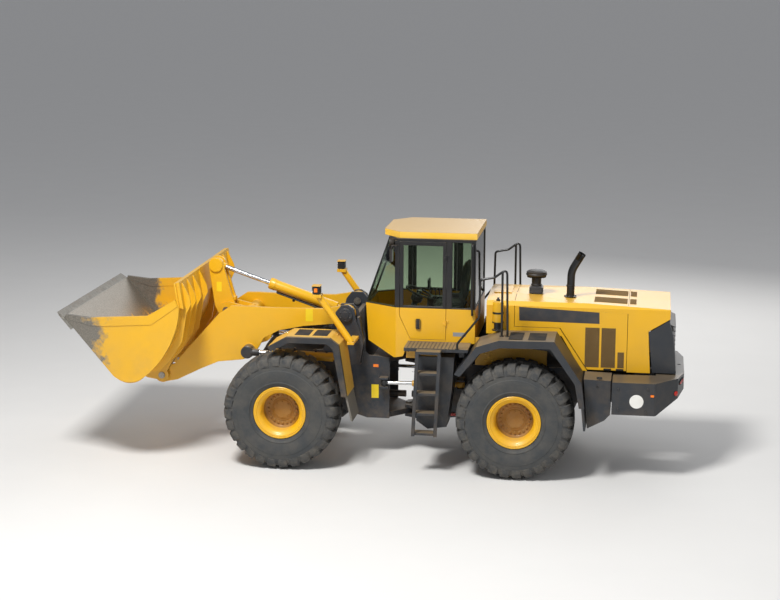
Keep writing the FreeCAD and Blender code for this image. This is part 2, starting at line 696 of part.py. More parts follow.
tower_web = prism("tower_web", "side", [
    (2330, 1780), (S.boom_pin_place - 200, S.boom_pin_height - 40),
    (S.boom_pin_place - 165, S.boom_pin_height - 40), (2385, 1780), (2440, 1480), (2440, 1450),
    (2380, 1450), (2380, 1480)], S.front_spread, tower_in)
tower_foot = prism("tower_foot", "side", [
    (2380, 1480), (S.lift_base_place + 80, S.lift_base_height - 110),
    (S.lift_base_place + 80, S.lift_base_height - 150), (2380, 1440)], S.front_spread, tower_in)
tower_side = fuse("tower_side", front_plate, tower_plate, tower_web, tower_foot)
lugs = []
for label, level in (("upper", S.hinge_upper), ("lower", S.hinge_lower)):
    lugs.append(prism("hinge_lug_" + label, "plan", [
        (2220, -front_in), (2220, front_in), (S.hinge_place + 235, front_in),
        (S.hinge_place - 40, S.hinge_eye - 20), (S.hinge_place - 120, 0),
        (S.hinge_place - 40, -S.hinge_eye + 20), (S.hinge_place + 235, -front_in)],
        level - S.hinge_lug / 2, level + S.hinge_lug / 2))
tilt_ears = both_sides("tilt_ears_both", prism("tilt_ears", "side", [
    (S.tilt_base_place - 240, S.tilt_base_height - 200), (S.tilt_base_place - 90, S.tilt_base_height + 80),
    (S.tilt_base_place + 40, S.tilt_base_height + 90), (S.tilt_base_place + 95, S.tilt_base_height),
    (S.tilt_base_place + 60, S.tilt_base_height - 250)],
    S.link_width / 2 + S.side_gap, S.link_width / 2 + S.side_gap + S.ear_plate))
tower_beam = box("tower_beam", S.tilt_base_place - 260, S.tilt_base_place - 200, -front_in, front_in,
                 1700, S.boom_pin_height - 40)
tower_shelf = box("tower_shelf", S.tilt_base_place - 260, S.tilt_base_place + 120, -front_in, front_in,
                  S.tilt_base_height - 290, S.tilt_base_height - 240)
front_bulkhead = box("front_bulkhead", 3700, 3740, -front_in, front_in, 1100, 1300)
front_seats = both_sides("front_seats", box(
    "front_seat", S.wheelbase - 170, S.wheelbase + 170, front_in - 30, S.front_spread + 40,
    S.tyre_radius + S.axle_radius - 70, 1090))
seat_way = rod("front_seat_way", "Y", S.wheelbase, -S.cab_half, S.tyre_radius,
               S.axle_radius + S.fit_gap, 2 * S.cab_half)
steer_ears = both_sides("steer_ears_both", fuse("steer_ears_pair", *[
    box("steer_ear_" + label, S.steer_eye_place - 55, S.steer_eye_place + 70,
        front_in, S.steer_eye_side + 55, S.steer_height + low, S.steer_height + low + 30)
    for label, low in (("top", 52), ("bottom", -82))]))
front_holes = fuse(
    "front_holes",
    rod("front_pin_hole", "Z", S.hinge_place, 0, S.hinge_lower - 200, S.hinge_pin + S.fit_gap,
        S.hinge_upper - S.hinge_lower + 400),
    rod("tilt_pin_hole", "Y", S.tilt_base_place, -150, S.tilt_base_height, S.crank_pin + S.fit_gap, 300),
    rod("boom_pin_hole", "Y", S.boom_pin_place, -1000, S.boom_pin_height, S.boom_pin + S.fit_gap, 2000))
front_body = fuse(
    "front_frame_body", both_sides("front_towers", tower_side), *lugs, tower_beam, tower_shelf,
    front_bulkhead, tilt_ears, steer_ears, cut("front_seats_cut", front_seats, seat_way))
finish("front_frame", fuse("front_frame_whole", cut("front_frame_cut", front_body, front_holes)))
pins = [both_sides("boom_pins_both", eye(
    "boom_pin_left", S.boom_pin_place, S.boom_pin_height, S.boom_pin, front_in - 20, S.tower_spread + 25))]
pins.append(both_sides("lift_pins_both", eye(
    "lift_pin_left", S.lift_base_place, S.lift_base_height, S.lift_pin,
    S.tower_spread + S.seat, S.lift_spread + 60)))
pins.append(eye("tilt_pin", S.tilt_base_place, S.tilt_base_height, S.crank_pin,
                -S.link_width / 2 - S.side_gap - S.ear_plate - 15,
                S.link_width / 2 + S.side_gap + S.ear_plate + 15))
finish("front_pins", group("front_pins_all", *pins))


# Boom, drawn about its pivot with +X towards the bucket pin

def boom_place(x, z):
    """A place in the machine's side view, seen from the boom's pivot along the boom."""
    run, rise = as_size(x) - S.boom_pin_place, as_size(z) - S.boom_pin_height
    return (run * cosine(S.boom_droop) - rise * sine(S.boom_droop),
            run * sine(S.boom_droop) + rise * cosine(S.boom_droop))


def on_boom(name, item):
    return finish_at(name, item, S.boom_pin_place, 0, S.boom_pin_height, (0, 1, 0), S.boom_droop)


lift_eye = boom_place(S.lift_eye_place, S.lift_eye_height)
crank_pivot = boom_place(S.crank_place, S.crank_height)
plate_in = S.boom_spread - S.boom_plate
boom_outline = [
    (0, S.boom_boss), (320, 190), (1080, 455), (1450, 600), (1640, 665), (1860, 610), (2110, 475),
    (2508, 264), (2793, 95), (S.boom_reach, S.nose_boss), (S.boom_reach, -S.nose_boss),
    (2838, -147), (2430, -100), (2130, -80), (1760, -165), (1605, -170), (1450, -60),
    (1330, 45), (1066, 85), (679, 30), (250, -75), (0, -S.boom_boss)]
boom_side = prism("boom_side", "side", boom_outline, plate_in, S.boom_spread)
boom_bosses = [
    eye("boom_boss", 0, 0, S.boom_boss, S.front_spread + S.side_gap, tower_in - S.side_gap),
    eye("boom_nose_boss", S.boom_reach, 0, S.nose_boss, plate_in - 15, S.boom_spread + 15),
    eye("boom_lift_boss", lift_eye[0], lift_eye[1], 105, plate_in - 15, S.boom_spread + 15)]
boom_pair = both_sides("boom_pair", fuse("boom_one_side", boom_side, *boom_bosses))
tube_place, tube_rise = 1560, 400
cross_tube = rod("cross_tube", "Y", tube_place, -plate_in, tube_rise, 110, 2 * plate_in)
crank_out = S.link_width / 2 + S.side_gap + S.crank_plate
crank_ears = both_sides("crank_ears_both", prism("crank_ears", "side", [
    (tube_place - 90, tube_rise + 90), (crank_pivot[0] - 90, crank_pivot[1] + 105),
    (crank_pivot[0] + 60, crank_pivot[1] + 110), (crank_pivot[0] + 120, crank_pivot[1]),
    (crank_pivot[0] + 30, crank_pivot[1] - 115), (tube_place + 60, tube_rise - 105)],
    crank_out + S.side_gap, crank_out + S.side_gap + S.ear_plate))
boom_holes = fuse(
    "boom_holes",
    rod("boom_pivot_hole", "Y", 0, -1000, 0, S.boom_pin + S.fit_gap, 2000),
    rod("bucket_pin_hole", "Y", S.boom_reach, -1000, 0, S.bucket_pin + S.fit_gap, 2000),
    rod("crank_pin_hole", "Y", crank_pivot[0], -400, crank_pivot[1], S.crank_pin + S.fit_gap, 800))
on_boom("boom", cut("boom_cut", fuse("boom_body", boom_pair, cross_tube, crank_ears), boom_holes))
boom_pin_set = [
    eye("crank_pin", crank_pivot[0], crank_pivot[1], S.crank_pin,
        -crank_out - S.side_gap - S.ear_plate - 20, crank_out + S.side_gap + S.ear_plate + 20),
    both_sides("lift_rod_studs", eye(
        "lift_rod_stud", lift_eye[0], lift_eye[1], 95, S.boom_spread + 15 + S.seat, 655))]
on_boom("boom_pins", group("boom_pins_all", *boom_pin_set))


# Bellcrank, drawn about its pivot in the machine's own directions

crank_top = (S.crank_upper * cosine(S.crank_lean), S.crank_upper * sine(S.crank_lean))
crank_foot = (S.crank_lower * cosine(S.crank_lower_lean), S.crank_lower * sine(S.crank_lower_lean))
crank_in = S.link_width / 2 + S.side_gap
crank_side = prism("crank_side", "side", [
    (crank_top[0] - 110, crank_top[1] + 20), (crank_top[0] + 110, crank_top[1] - 20),
    (185, 60), (60, -200), (crank_foot[0] + 95, crank_foot[1] - 40),
    (crank_foot[0] - 85, crank_foot[1] + 60), (-190, -220), (-140, 60), (-75, 260)],
    crank_in, crank_out)
crank_bosses = [
    eye("crank_top_round", crank_top[0], crank_top[1], 112, crank_in, crank_out),
    eye("crank_foot_round", crank_foot[0], crank_foot[1], 105, crank_in, crank_out),
    eye("crank_top_boss", crank_top[0], crank_top[1], 105, crank_in, crank_out + 25)]
crank_hub = rod("crank_hub", "Y", 0, -crank_out, 0, 125, 2 * crank_out)
crank_rib = box("crank_rib", -130, 110, -crank_in, crank_in, 140, 190)
crank_whole = fuse("crank_whole", both_sides("crank_both", fuse("crank_one", crank_side, *crank_bosses)),
                   crank_hub, crank_rib)
crank_bore = rod("crank_bore", "Y", 0, -400, 0, S.crank_pin + S.fit_gap, 800)
finish_at("bellcrank", cut("crank_cut", crank_whole, crank_bore), S.crank_place, 0, S.crank_height)

# Link from the bellcrank's foot to the bucket, with the pin it turns on

link_lean = slope(link_end_height - link_pin_height, link_end_place - link_pin_place)
link_length = distance(link_end_place - link_pin_place, link_end_height - link_pin_height)
link_half = S.link_width / 2
link_bar = prism("link_bar", "side", [
    (0, 95), (link_length / 2, 65), (link_length, 90), (link_length, -90), (link_length / 2, -65),
    (0, -95)], -link_half, link_half)
link_ends = [eye("link_foot", 0, 0, 95, -link_half, link_half),
             eye("link_head", link_length, 0, 90, -link_half, link_half)]
link_pin = eye("link_pin", link_length, 0, S.crank_pin, -crank_out - 20, crank_out + 20)
finish_at("tilt_link", fuse("link_whole", link_bar, link_pin, *link_ends), link_pin_place, 0, link_pin_height,
          (0, -1, 0), link_lean)


# Hydraulic cylinders, drawn along +X from the pin of the barrel

def barrel(name, eye_radius, eye_pin, half_eye, bore, rod_radius, length, eye_along):
    foot = eye_radius + 45
    tube = rod(name + "_tube", "X", foot, 0, 0, bore, as_size(length) - foot)
    collar = rod(name + "_collar", "X", as_size(length) - 90, 0, 0, as_size(bore) * 1.1, 90)
    wide, high = (half_eye, eye_radius * 0.65) if eye_along == "Y" else (eye_radius * 0.65, half_eye)
    neck = box(name + "_neck", 0, foot + 10, -wide, wide, -high, high)
    boss = (rod(name + "_eye", "Y", 0, -half_eye, 0, eye_radius, 2 * half_eye) if eye_along == "Y"
            else rod(name + "_eye", "Z", 0, 0, -half_eye, eye_radius, 2 * half_eye))
    pin = (rod(name + "_pin", "Y", 0, -half_eye - 5, 0, eye_pin, 2 * half_eye + 10) if eye_along == "Y"
           else rod(name + "_pin", "Z", 0, 0, -half_eye - 5, eye_pin, 2 * half_eye + 10))
    way = rod(name + "_bore", "X", eye_radius + 30, 0, 0, as_size(rod_radius) + S.fit_gap, length)
    return cut(name + "_cut", fuse(name + "_whole", tube, collar, neck, boss), pin, way)


def piston_rod(name, eye_radius, half_eye, rod_radius, reach, length, eye_along):
    """A rod whose eye lies at reach from the barrel's pin and whose tail stays in the barrel."""
    bar = rod(name + "_bar", "X", as_size(reach) - length, 0, 0, rod_radius, as_size(length) - 20)
    boss = (rod(name + "_eye", "Y", reach, -half_eye, 0, eye_radius, 2 * half_eye) if eye_along == "Y"
            else rod(name + "_eye", "Z", reach, 0, -half_eye, eye_radius, 2 * half_eye))
    neck = rod(name + "_neck", "X", as_size(reach) - eye_radius - 25, 0, 0, as_size(rod_radius) + 10, 45)
    return fuse(name + "_whole", bar, boss, neck)


tilt_lean = slope(tilt_eye_height - S.tilt_base_height, tilt_eye_place - S.tilt_base_place)
tilt_reach = distance(tilt_eye_place - S.tilt_base_place, tilt_eye_height - S.tilt_base_height)
tilt_place = (S.tilt_base_place, 0, S.tilt_base_height, (0, -1, 0), tilt_lean)
finish_at("tilt_barrel", barrel(
    "tilt_barrel_body", 90, S.crank_pin + S.fit_gap, S.link_width / 2, S.tilt_bore, S.tilt_rod,
    S.tilt_barrel, "Y"), *tilt_place)
finish_at("tilt_rod", piston_rod(
    "tilt_rod_body", 95, S.link_width / 2, S.tilt_rod, tilt_reach, 1250, "Y"), *tilt_place)

lift_lean = slope(S.lift_eye_height - S.lift_base_height, S.lift_eye_place - S.lift_base_place)
lift_reach = distance(S.lift_eye_place - S.lift_base_place, S.lift_eye_height - S.lift_base_height)


def pair_across(name, item, across):
    """The same cylinder on both sides of the machine."""
    left = group(name + "_left", item)
    right = group(name + "_right", item)
    bind(left, "Placement.Base.y", across)
    bind(right, "Placement.Base.y", -across)
    return group(name + "_both", left, right)


lift_place = (S.lift_base_place, 0, S.lift_base_height, (0, -1, 0), lift_lean)
finish_at("lift_barrels", pair_across("lift_barrels", barrel(
    "lift_barrel_body", 85, S.lift_pin + S.fit_gap, 36, S.lift_bore, S.lift_rod, S.lift_barrel, "Y"),
    S.lift_spread), *lift_place)
finish_at("lift_rods", pair_across("lift_rods", piston_rod(
    "lift_rod_body", 95, 50, S.lift_rod, lift_reach, 1100, "Y"), S.lift_spread), *lift_place)

steer_lean = slope(S.steer_eye_side - S.steer_base_side, S.steer_eye_place - S.steer_base_place)
steer_reach = distance(S.steer_eye_place - S.steer_base_place, S.steer_eye_side - S.steer_base_side)
for label, sign in (("left", 1), ("right", -1)):
    steer_place = (S.steer_base_place, S.steer_base_side * sign, S.steer_height, (0, 0, sign), steer_lean)
    finish_at("steer_barrel_" + label, barrel(
        "steer_barrel_%s_body" % label, 60, S.steer_pin + S.fit_gap, 40, S.steer_bore, S.steer_rod,
        S.steer_barrel, "Z"), *steer_place)
    finish_at("steer_rod_" + label, piston_rod(
        "steer_rod_%s_body" % label, 50, 40, S.steer_rod, steer_reach, 735, "Z"), *steer_place)


# Bucket, drawn about its hinge pin with a level floor

link_ear = (S.link_radius * cosine(S.link_angle - S.bucket_curl),
            S.link_radius * sine(S.link_angle - S.bucket_curl))
half_bucket = S.bucket_width / 2
back_outline = [
    (S.edge_reach - 120, -S.floor_drop), (460, -S.floor_drop), (190, -80), (150, 120), (185, 400),
    (330, 861), (600, 1216), (919, S.lip_height)]


def on_bucket(name, item):
    return finish_at(name, item, bucket_pin_place, 0, bucket_pin_height, (0, -1, 0), S.bucket_curl)


def bucket_skin():
    """Floor and back as one bent plate, offset inwards from its outer outline."""
    spots = [Vector(as_size(u).value, 0, as_size(v).value) for u, v in back_outline]
    edges = [Part.LineSegment(spots[0], spots[1]).toShape(),
             Part.Arc(spots[1], spots[2], spots[3]).toShape(),
             Part.Arc(spots[3], spots[4], spots[5]).toShape(),
             Part.Arc(spots[5], Vector(440, 0, 1045), spots[6]).toShape(),
             Part.LineSegment(spots[6], spots[7]).toShape()]
    outer = Part.Wire(edges)
    inward = -S.bucket_skin.value
    band = outer.makeOffset2D(inward, 2, True, True)
    if band.BoundBox.ZMin < outer.BoundBox.ZMin - 1:
        band = outer.makeOffset2D(-inward, 2, True, True)
    width = half_bucket.value - S.bucket_side.value
    band.translate(Vector(0, -width, 0))
    skin = numbered("Part::Feature", "bucket_skin_plate")
    skin.Shape = band.extrude(Vector(0, 2 * width, 0))
    return skin


side_plate = prism("bucket_side_plate", "side", [
    (1560, -S.floor_drop), (460, -S.floor_drop), (150, 120), (330, 861), (600, 1216), (734, 1260),
    (813, 771), (1328, 76), (1600, -190)],
    half_bucket - S.bucket_side, half_bucket, {1: 360, 2: 1450, 3: 1200})
side_strip = prism("bucket_side_strip", "side", [
    (734, 1260), (813, 771), (1328, 76), (1600, -190), (1500, -190), (1210, 10), (675, 735),
    (640, 1225)], half_bucket - S.bucket_side - 5, half_bucket + 8)
lip = prism("bucket_lip", "side", [
    (600, 1216), (919, S.lip_height), (895, S.lip_height + 45), (560, 1250)],
    -half_bucket + 60, half_bucket - 60)
ribs = []
RIB_PLACES = (380, 760, 1080, 1380)
for number, across in enumerate(RIB_PLACES):
    ribs.append(both_sides("bucket_rib_%d_both" % number, prism("bucket_rib_%d" % number, "side", [
        (158, 160), (185, 400), (330, 861), (600, 1216), (560, 1250), (470, 1190), (200, 870),
        (90, 520), (75, 330)], across, across + 25)))
ear_gap = S.boom_spread + 15 + S.side_gap
ear_in = plate_in - 15 - S.side_gap
hinge_ears = []
for label, start in (("outer", ear_gap), ("inner", ear_in - S.ear_plate)):
    hinge_ears.append(both_sides("hinge_ear_%s_both" % label, prism("hinge_ear_" + label, "side", [
        (0, 105), (120, 420), (210, 480), (230, -150), (330, -S.floor_drop), (120, -S.floor_drop + 25),
        (0, -105)], start, start + S.ear_plate)))
    hinge_ears.append(both_sides("hinge_ear_%s_round_both" % label, eye(
        "hinge_ear_%s_round" % label, 0, 0, 105, start, start + S.ear_plate)))
link_ears = both_sides("link_ears_both", prism("link_ears", "side", [
    (link_ear[0] + 10, link_ear[1] + 95), (230, 700), (300, 640), (200, 100),
    (link_ear[0] + 20, link_ear[1] - 95)], crank_in, crank_in + S.ear_plate))
link_ear_rounds = both_sides("link_ear_rounds", eye(
    "link_ear_round", link_ear[0], link_ear[1], 95, crank_in, crank_in + S.ear_plate))
hinge_bores = fuse(
    "hinge_bores", rod("hinge_ear_bores", "Y", 0, -1000, 0, S.bucket_pin + S.fit_gap, 2000),
    rod("link_ear_bores", "Y", link_ear[0], -300, link_ear[1], S.crank_pin + S.fit_gap, 600))
bucket_body = fuse("bucket_body", bucket_skin(), both_sides("bucket_sides", fuse(
    "bucket_side", side_plate, side_strip)), lip, *ribs, *hinge_ears, link_ears,
    link_ear_rounds)
on_bucket("bucket", cut("bucket_cut", bucket_body, hinge_bores))
edge_back = S.edge_reach - S.edge_depth
edge = prism("cutting_edge_plate", "side", [
    (edge_back, -S.floor_drop - S.edge_plate), (S.edge_reach - 60, -S.floor_drop - S.edge_plate),
    (S.edge_reach, -S.floor_drop - S.edge_plate + S.edge_nose), (S.edge_reach - 110, -S.floor_drop),
    (edge_back, -S.floor_drop)], -half_bucket - 8, half_bucket + 8)
on_bucket("cutting_edge", fuse("cutting_edge_whole", edge))
bucket_pins = both_sides("bucket_pins_both", eye(
    "bucket_hinge_pin", 0, 0, S.bucket_pin, ear_in - S.ear_plate - 15, ear_gap + S.ear_plate + 15))
on_bucket("bucket_pins", group("bucket_pins_all", bucket_pins))


# Engine hood: a folded shell with side grilles, open at the back for the radiator grille

hood_back_top = S.hood_shoulder - S.hood_fall


def hood_form(name, inset):
    """The hood's outer form, or its inner form when it is inset by the panel thickness."""
    front = S.hood_front - inset
    back = -S.hood_rear + inset
    half = S.hood_half - inset
    rise = S.hood_shoulder - inset
    top = prism(name + "_section", "front", [
        (-half, S.hood_bottom - 200), (-half, rise - 60), (-half + 55, rise), (0, rise + S.hood_crown),
        (half - 55, rise), (half, rise - 60), (half, S.hood_bottom - 200)], back, front)
    slope_cut = prism(name + "_slope", "side", [
        (back - 50, hood_back_top - inset - 300), (back - 50, hood_back_top + S.hood_crown - inset),
        (front + 50, S.hood_shoulder + S.hood_crown - inset), (front + 50, S.hood_bottom - 300),
        (back - 50, S.hood_bottom - 300)], -half - 50, half + 50)
    return common(name, top, slope_cut)


hood_outer = hood_form("hood_outer", as_size(0))
hood_shell = cut("hood_shell", hood_outer, hood_form("hood_inner", S.hood_skin))
hood_trim = prism("hood_trim", "side", [
    (S.hood_front + 10, 2010), (-620, 2010), (-930, S.hood_bottom), (-S.grille_place - 40, S.hood_bottom),
    (-S.grille_place, 2120), (-S.hood_rear - 60, hood_back_top - 40), (-S.hood_rear - 60, 1200),
    (S.hood_front + 10, 1200)], -S.cab_half - 100, S.cab_half + 100)
vents = []
VENTS = ((-968, -1173, 1560, 2150), (-1205, -1408, 1560, 2150), (-1445, -1536, 1560, 1795))
for number, (front, back, low, high) in enumerate(VENTS):
    vents.append(box("vent_%d" % number, back, front, -S.cab_half, S.cab_half, low, high))
lid_outline = [
    (S.lid_front, S.lid_swing), (-S.lid_rear, S.lid_swing - 65), (-S.lid_rear, S.hood_bottom + 20),
    (-1010, S.hood_bottom + 20), (-990, S.hood_bottom + 45), (-600, 2130), (S.lid_front, 2130)]
lid_opening = prism("lid_opening", "side", [
    (S.lid_front + S.seam_gap, S.lid_swing + 2 * S.seat),
    (-S.lid_rear - S.seam_gap, S.lid_swing - 65 + S.seat),
    (-S.lid_rear - S.seam_gap, S.hood_bottom - 60), (-1046, S.hood_bottom - 60),
    (-590, 2124), (S.lid_front + S.seam_gap, 2124)], -S.cab_half - 60, S.cab_half + 60)
hood_cut = cut("hood_opened", hood_shell, hood_trim, lid_opening)
lid_plate = cut("lid_plate", prism("lid_form", "side", lid_outline, S.hood_half - S.hood_skin,
                                   S.hood_half), *vents)
slats = []
for number, (front, back, low, high) in enumerate(VENTS):
    count = int(round((front - back) / 45.0))
    for slat in range(count):
        start = back + (front - back) * (slat + 0.3) / count
        slats.append(box("slat_%d_%d" % (number, slat), start, start + 14,
                         S.hood_half - S.hood_skin + 4, S.hood_half - 8, low - 5, high + 5))
finish("hood", hood_cut)
lid = fuse("lid_whole", lid_plate, *slats)
finish("engine_door_left", group("engine_door_one", lid))
finish("engine_door_right", mirrored("engine_door_twin", lid))

# Radiator grille at the back: a swing-out door with level fins

grille_half = S.hood_half - S.seam_gap
grille_frame = cut("grille_frame", prism("grille_form", "side", [
    (-S.grille_place - 2, 2100), (-S.hood_rear + 20, hood_back_top - 102),
    (-S.hood_rear - 55, S.weight_top + 560), (-S.hood_rear - 105, S.weight_top + 20),
    (-S.grille_place - 70, S.weight_top + 20)], -grille_half, grille_half),
    box("grille_inside", -S.hood_rear + 10, -S.grille_place + 100, -grille_half + 35,
        grille_half - 35, S.weight_top + 60, 2700),
    box("grille_mouth", -S.hood_rear - 200, -S.hood_rear + 20, -S.nose_half - 60, S.nose_half + 60,
        S.weight_top + 110, 2220))
fins = []
FIN_COUNT = 9
for number in range(FIN_COUNT):
    level = 1620 + number * 66
    fins.append(prism("fin_%d" % number, "side", [
        (-S.hood_rear - 85, level), (-S.hood_rear - 78, level + 12), (-S.hood_rear + 5, level + 45),
        (-S.hood_rear + 12, level + 33)], -S.nose_half - 65, S.nose_half + 65))
finish("rear_grille", fuse("rear_grille_whole", grille_frame, *fins))

# Engine and radiator under the hood: one plain block

finish("engine_block", box("engine_block_form", -1750, 150, -270, 270, S.engine_bottom, 2250))

# Gearbox below the cab floor with the drive shafts to both axles

gearbox = fuse(
    "gearbox_whole", box("gearbox_case", 520, 1150, -230, 230, 760, 1300),
    box("gearbox_foot", 700, 770, -(rail_in - S.seat), rail_in - S.seat, 1200, 1260),
    rod("gearbox_flange", "X", 1140, 0, S.tyre_radius, 130, 110),
    rod("rear_shaft", "X", S.axle_bowl + 120 + S.seat, 0, S.tyre_radius, 60, 120),
    rod("middle_shaft", "X", 1240, 0, S.tyre_radius, 50, 440))
finish("gearbox", gearbox)
nose_end = S.wheelbase - S.axle_bowl - 120
finish("front_shaft", fuse(
    "front_shaft_whole", rod("front_shaft_bar", "X", S.hinge_place + 45, 0, S.tyre_radius, 50,
                             nose_end - S.hinge_place - 45 - S.seat),
    rod("front_shaft_joint", "X", nose_end - 120, 0, S.tyre_radius, 85, 100)))

# Counterweight: a thick wrap-round casting

weight_plan = prism("weight_plan", "plan", [
    (-S.weight_rear, -520), (-S.weight_rear, 520), (-S.weight_rear + 90, 900),
    (-S.weight_rear + 420, S.weight_half), (-1390, S.weight_half), (-1390, 800),
    (-S.weight_rear + S.weight_pocket, 760), (-S.weight_rear + S.weight_pocket, -760),
    (-1390, -800), (-1390, -S.weight_half), (-S.weight_rear + 420, -S.weight_half),
    (-S.weight_rear + 90, -900)], S.weight_bottom, S.weight_top)
weight_slope = prism("weight_slope", "side", [
    (-S.weight_rear - 10, S.weight_bottom - 10), (-S.weight_rear - 10, S.weight_bottom + 240),
    (-S.weight_rear + 410, S.weight_bottom - 10)], -S.weight_half - 10, S.weight_half + 10)
hitch_slot = box("hitch_slot", -S.weight_rear - 10, -S.weight_rear + 190, -110, 110,
                 S.weight_top - 215, S.weight_top - 95)
hitch_hole = rod("hitch_hole", "Z", -S.weight_rear + 70, 0, S.weight_bottom, S.hitch_pin, 600)
finish("counterweight", cut("counterweight_cut", weight_plan, weight_slope, hitch_slot, hitch_hole))
side_box = prism("side_box_form", "side", [
    (-980, 1500), (-1370, 1490), (-1370, 990), (-1290, 900), (-1044, 770)],
    S.hood_half + 20, S.weight_half - 60)
side_shelf = box("side_box_shelf", -1300, -1060, S.rail_spread + S.seat, S.hood_half + 20, 1180, 1240)
side_box = fuse("side_box_whole", side_box, side_shelf)

# Side decks with the ladders below them

deck_edge = 1230
deck = box("deck", 700, 1640, S.cab_half + 20, deck_edge, S.deck_height - S.deck_thick, S.deck_height)
deck_beam = fuse("deck_beams", *[
    box("deck_beam_%d" % start, start, start + 80, S.rail_spread + S.seat, deck_edge - 100,
        S.deck_height - S.deck_thick - 90, S.deck_height - S.deck_thick) for start in BEAM_PLACES])
ladder = []
for label, top_x, foot_x in (("front", 1420, 1475), ("back", 1095, 1150)):
    ladder.append(prism("ladder_rail_" + label, "side", [
        (top_x - 25, S.deck_height - S.deck_thick), (top_x + 25, S.deck_height - S.deck_thick),
        (foot_x + 25, 590), (foot_x - 25, 590)], S.ladder_half - 15, S.ladder_half + 15))
RUNG_LEVELS = (600, 900, 1200, 1500)
for number, level in enumerate(RUNG_LEVELS):
    lean = (1900 - level) * 55 / 1300.0
    ladder.append(box("rung_%d" % number, 1095 + lean, 1420 + lean, S.ladder_half - 190,
                      S.ladder_half - 15, level, level + 35))
ladder_hanger = box("ladder_hanger", 1080, 1440, deck_edge - 60, S.ladder_half + 15,
                    S.deck_height - S.deck_thick, S.deck_height - S.deck_thick + 40)
steps = fuse("steps_one", deck, deck_beam, ladder_hanger, *ladder)
finish("side_decks", group("side_decks_both", steps, mirrored("side_decks_right", steps)))

# Tank boxes under the decks

tank_top = S.deck_height - S.deck_thick - 90 - S.seat
tank = prism("tank_form", "side", [
    (905, tank_top), (1460, tank_top), (1460, 760), (1290, 640), (1010, 680), (935, 1250)], 700, 1150)
finish("side_tanks", group("side_tanks_all", side_box, mirrored("side_box_right", side_box),
                           tank, mirrored("tank_right", tank)))

# Rear fenders: a bent sheet over each wheel with a deep outer edge

fender_line = [
    (870, 1560), (560, 1975), (230, 2085), (-560, 2095), (-960, 1500), (-1030, 800)]
inner_line = [
    (-1000, 800), (-925, 1490), (-545, 2060), (225, 2050), (540, 1945), (840, 1545)]
sheet_form = prism("rear_fender_sheet", "side", fender_line + inner_line,
                   S.fender_inner, S.fender_half)
rim_edge = prism("rear_fender_edge", "side", [
    (870, 1560), (560, 1975), (230, 2085), (-560, 2095), (-960, 1500), (-1010, 1130),
    (-930, 1130), (-865, 1480), (-505, 1985), (215, 1975), (505, 1880), (790, 1530)],
    S.fender_half - 60, S.fender_half)
inner_panel = prism("inner_panel", "side", [
    (880, 1500), (600, 1900), (225, 2040), (-545, 2050), (-900, 1500), (-760, 1480),
    (-440, 1790), (120, 1860), (560, 1720), (740, 1480)], S.fender_inner - 30, S.fender_inner)
panel_arm = box("panel_arm", -200, 100, S.rail_spread + S.seat, S.fender_inner - 35, 1380, 1440)
panel_post = box("panel_post", -200, 100, S.fender_inner - 60, S.fender_inner - 30, 1380, 1900)
rear_fender = fuse("rear_fender", sheet_form, rim_edge, inner_panel, panel_arm, panel_post)
finish("rear_fenders", group("rear_fenders_both", rear_fender, mirrored("rear_fender_right", rear_fender)))

# Front fenders with rubber flaps

front_line = [
    (3600, 1835), (3330, 1985), (2700, 1985), (2590, 1900), (2470, 1150),
    (2440, 1150), (2560, 1920), (2690, 2015), (3340, 2015), (3615, 1860)]
front_sheet = prism("front_fender_sheet", "side", front_line, S.fender_inner + 40, S.fender_half - 30)
front_edge = prism("front_fender_edge", "side", [
    (3615, 1860), (3340, 2015), (2690, 2015), (2560, 1920), (2440, 1150), (2520, 1150),
    (2650, 1850), (2730, 1930), (3300, 1930), (3570, 1790)], S.fender_half - 90, S.fender_half - 30)
fender_arm = box("fender_arm", 2640, 2720, S.tower_spread + S.seat, 1100, 1925, 1990)
front_fender = fuse("front_fender", front_sheet, front_edge, fender_arm)
finish("front_fenders", group(
    "front_fenders_both", front_fender, mirrored("front_fender_right", front_fender)))
flap = prism("flap", "side", [(2470, 1150 - S.seat), (2440, 1150 - S.seat), (2360, 780), (2385, 780)],
             S.fender_inner + 100, S.fender_half - 60)
finish("front_flaps", group("front_flaps_both", flap, mirrored("flap_right", flap)))


# Exhaust and air pre-cleaner on the hood

def lathe(name, corners):
    """A form drawn as radius and height, turned about an upright axis."""
    sketch = numbered("Sketcher::SketchObject", name + "_outline")
    sketch.Placement = FreeCAD.Placement(Vector(), SKETCH_TURNS["side"])
    fix_corners(sketch, corners, {})
    item = numbered("Part::Revolution", name)
    item.Source = sketch
    item.Axis = Vector(0, 0, 1)
    item.Angle = 360
    item.Solid = True
    return item


def hood_top(x, y):
    """Height of the hood's top panel at a place."""
    along = (S.hood_front - x) / (S.hood_front + S.hood_rear)
    crown = S.hood_crown * (1 - abs(y) / (S.hood_half.value - 55))
    return S.hood_shoulder + crown - S.hood_fall * along


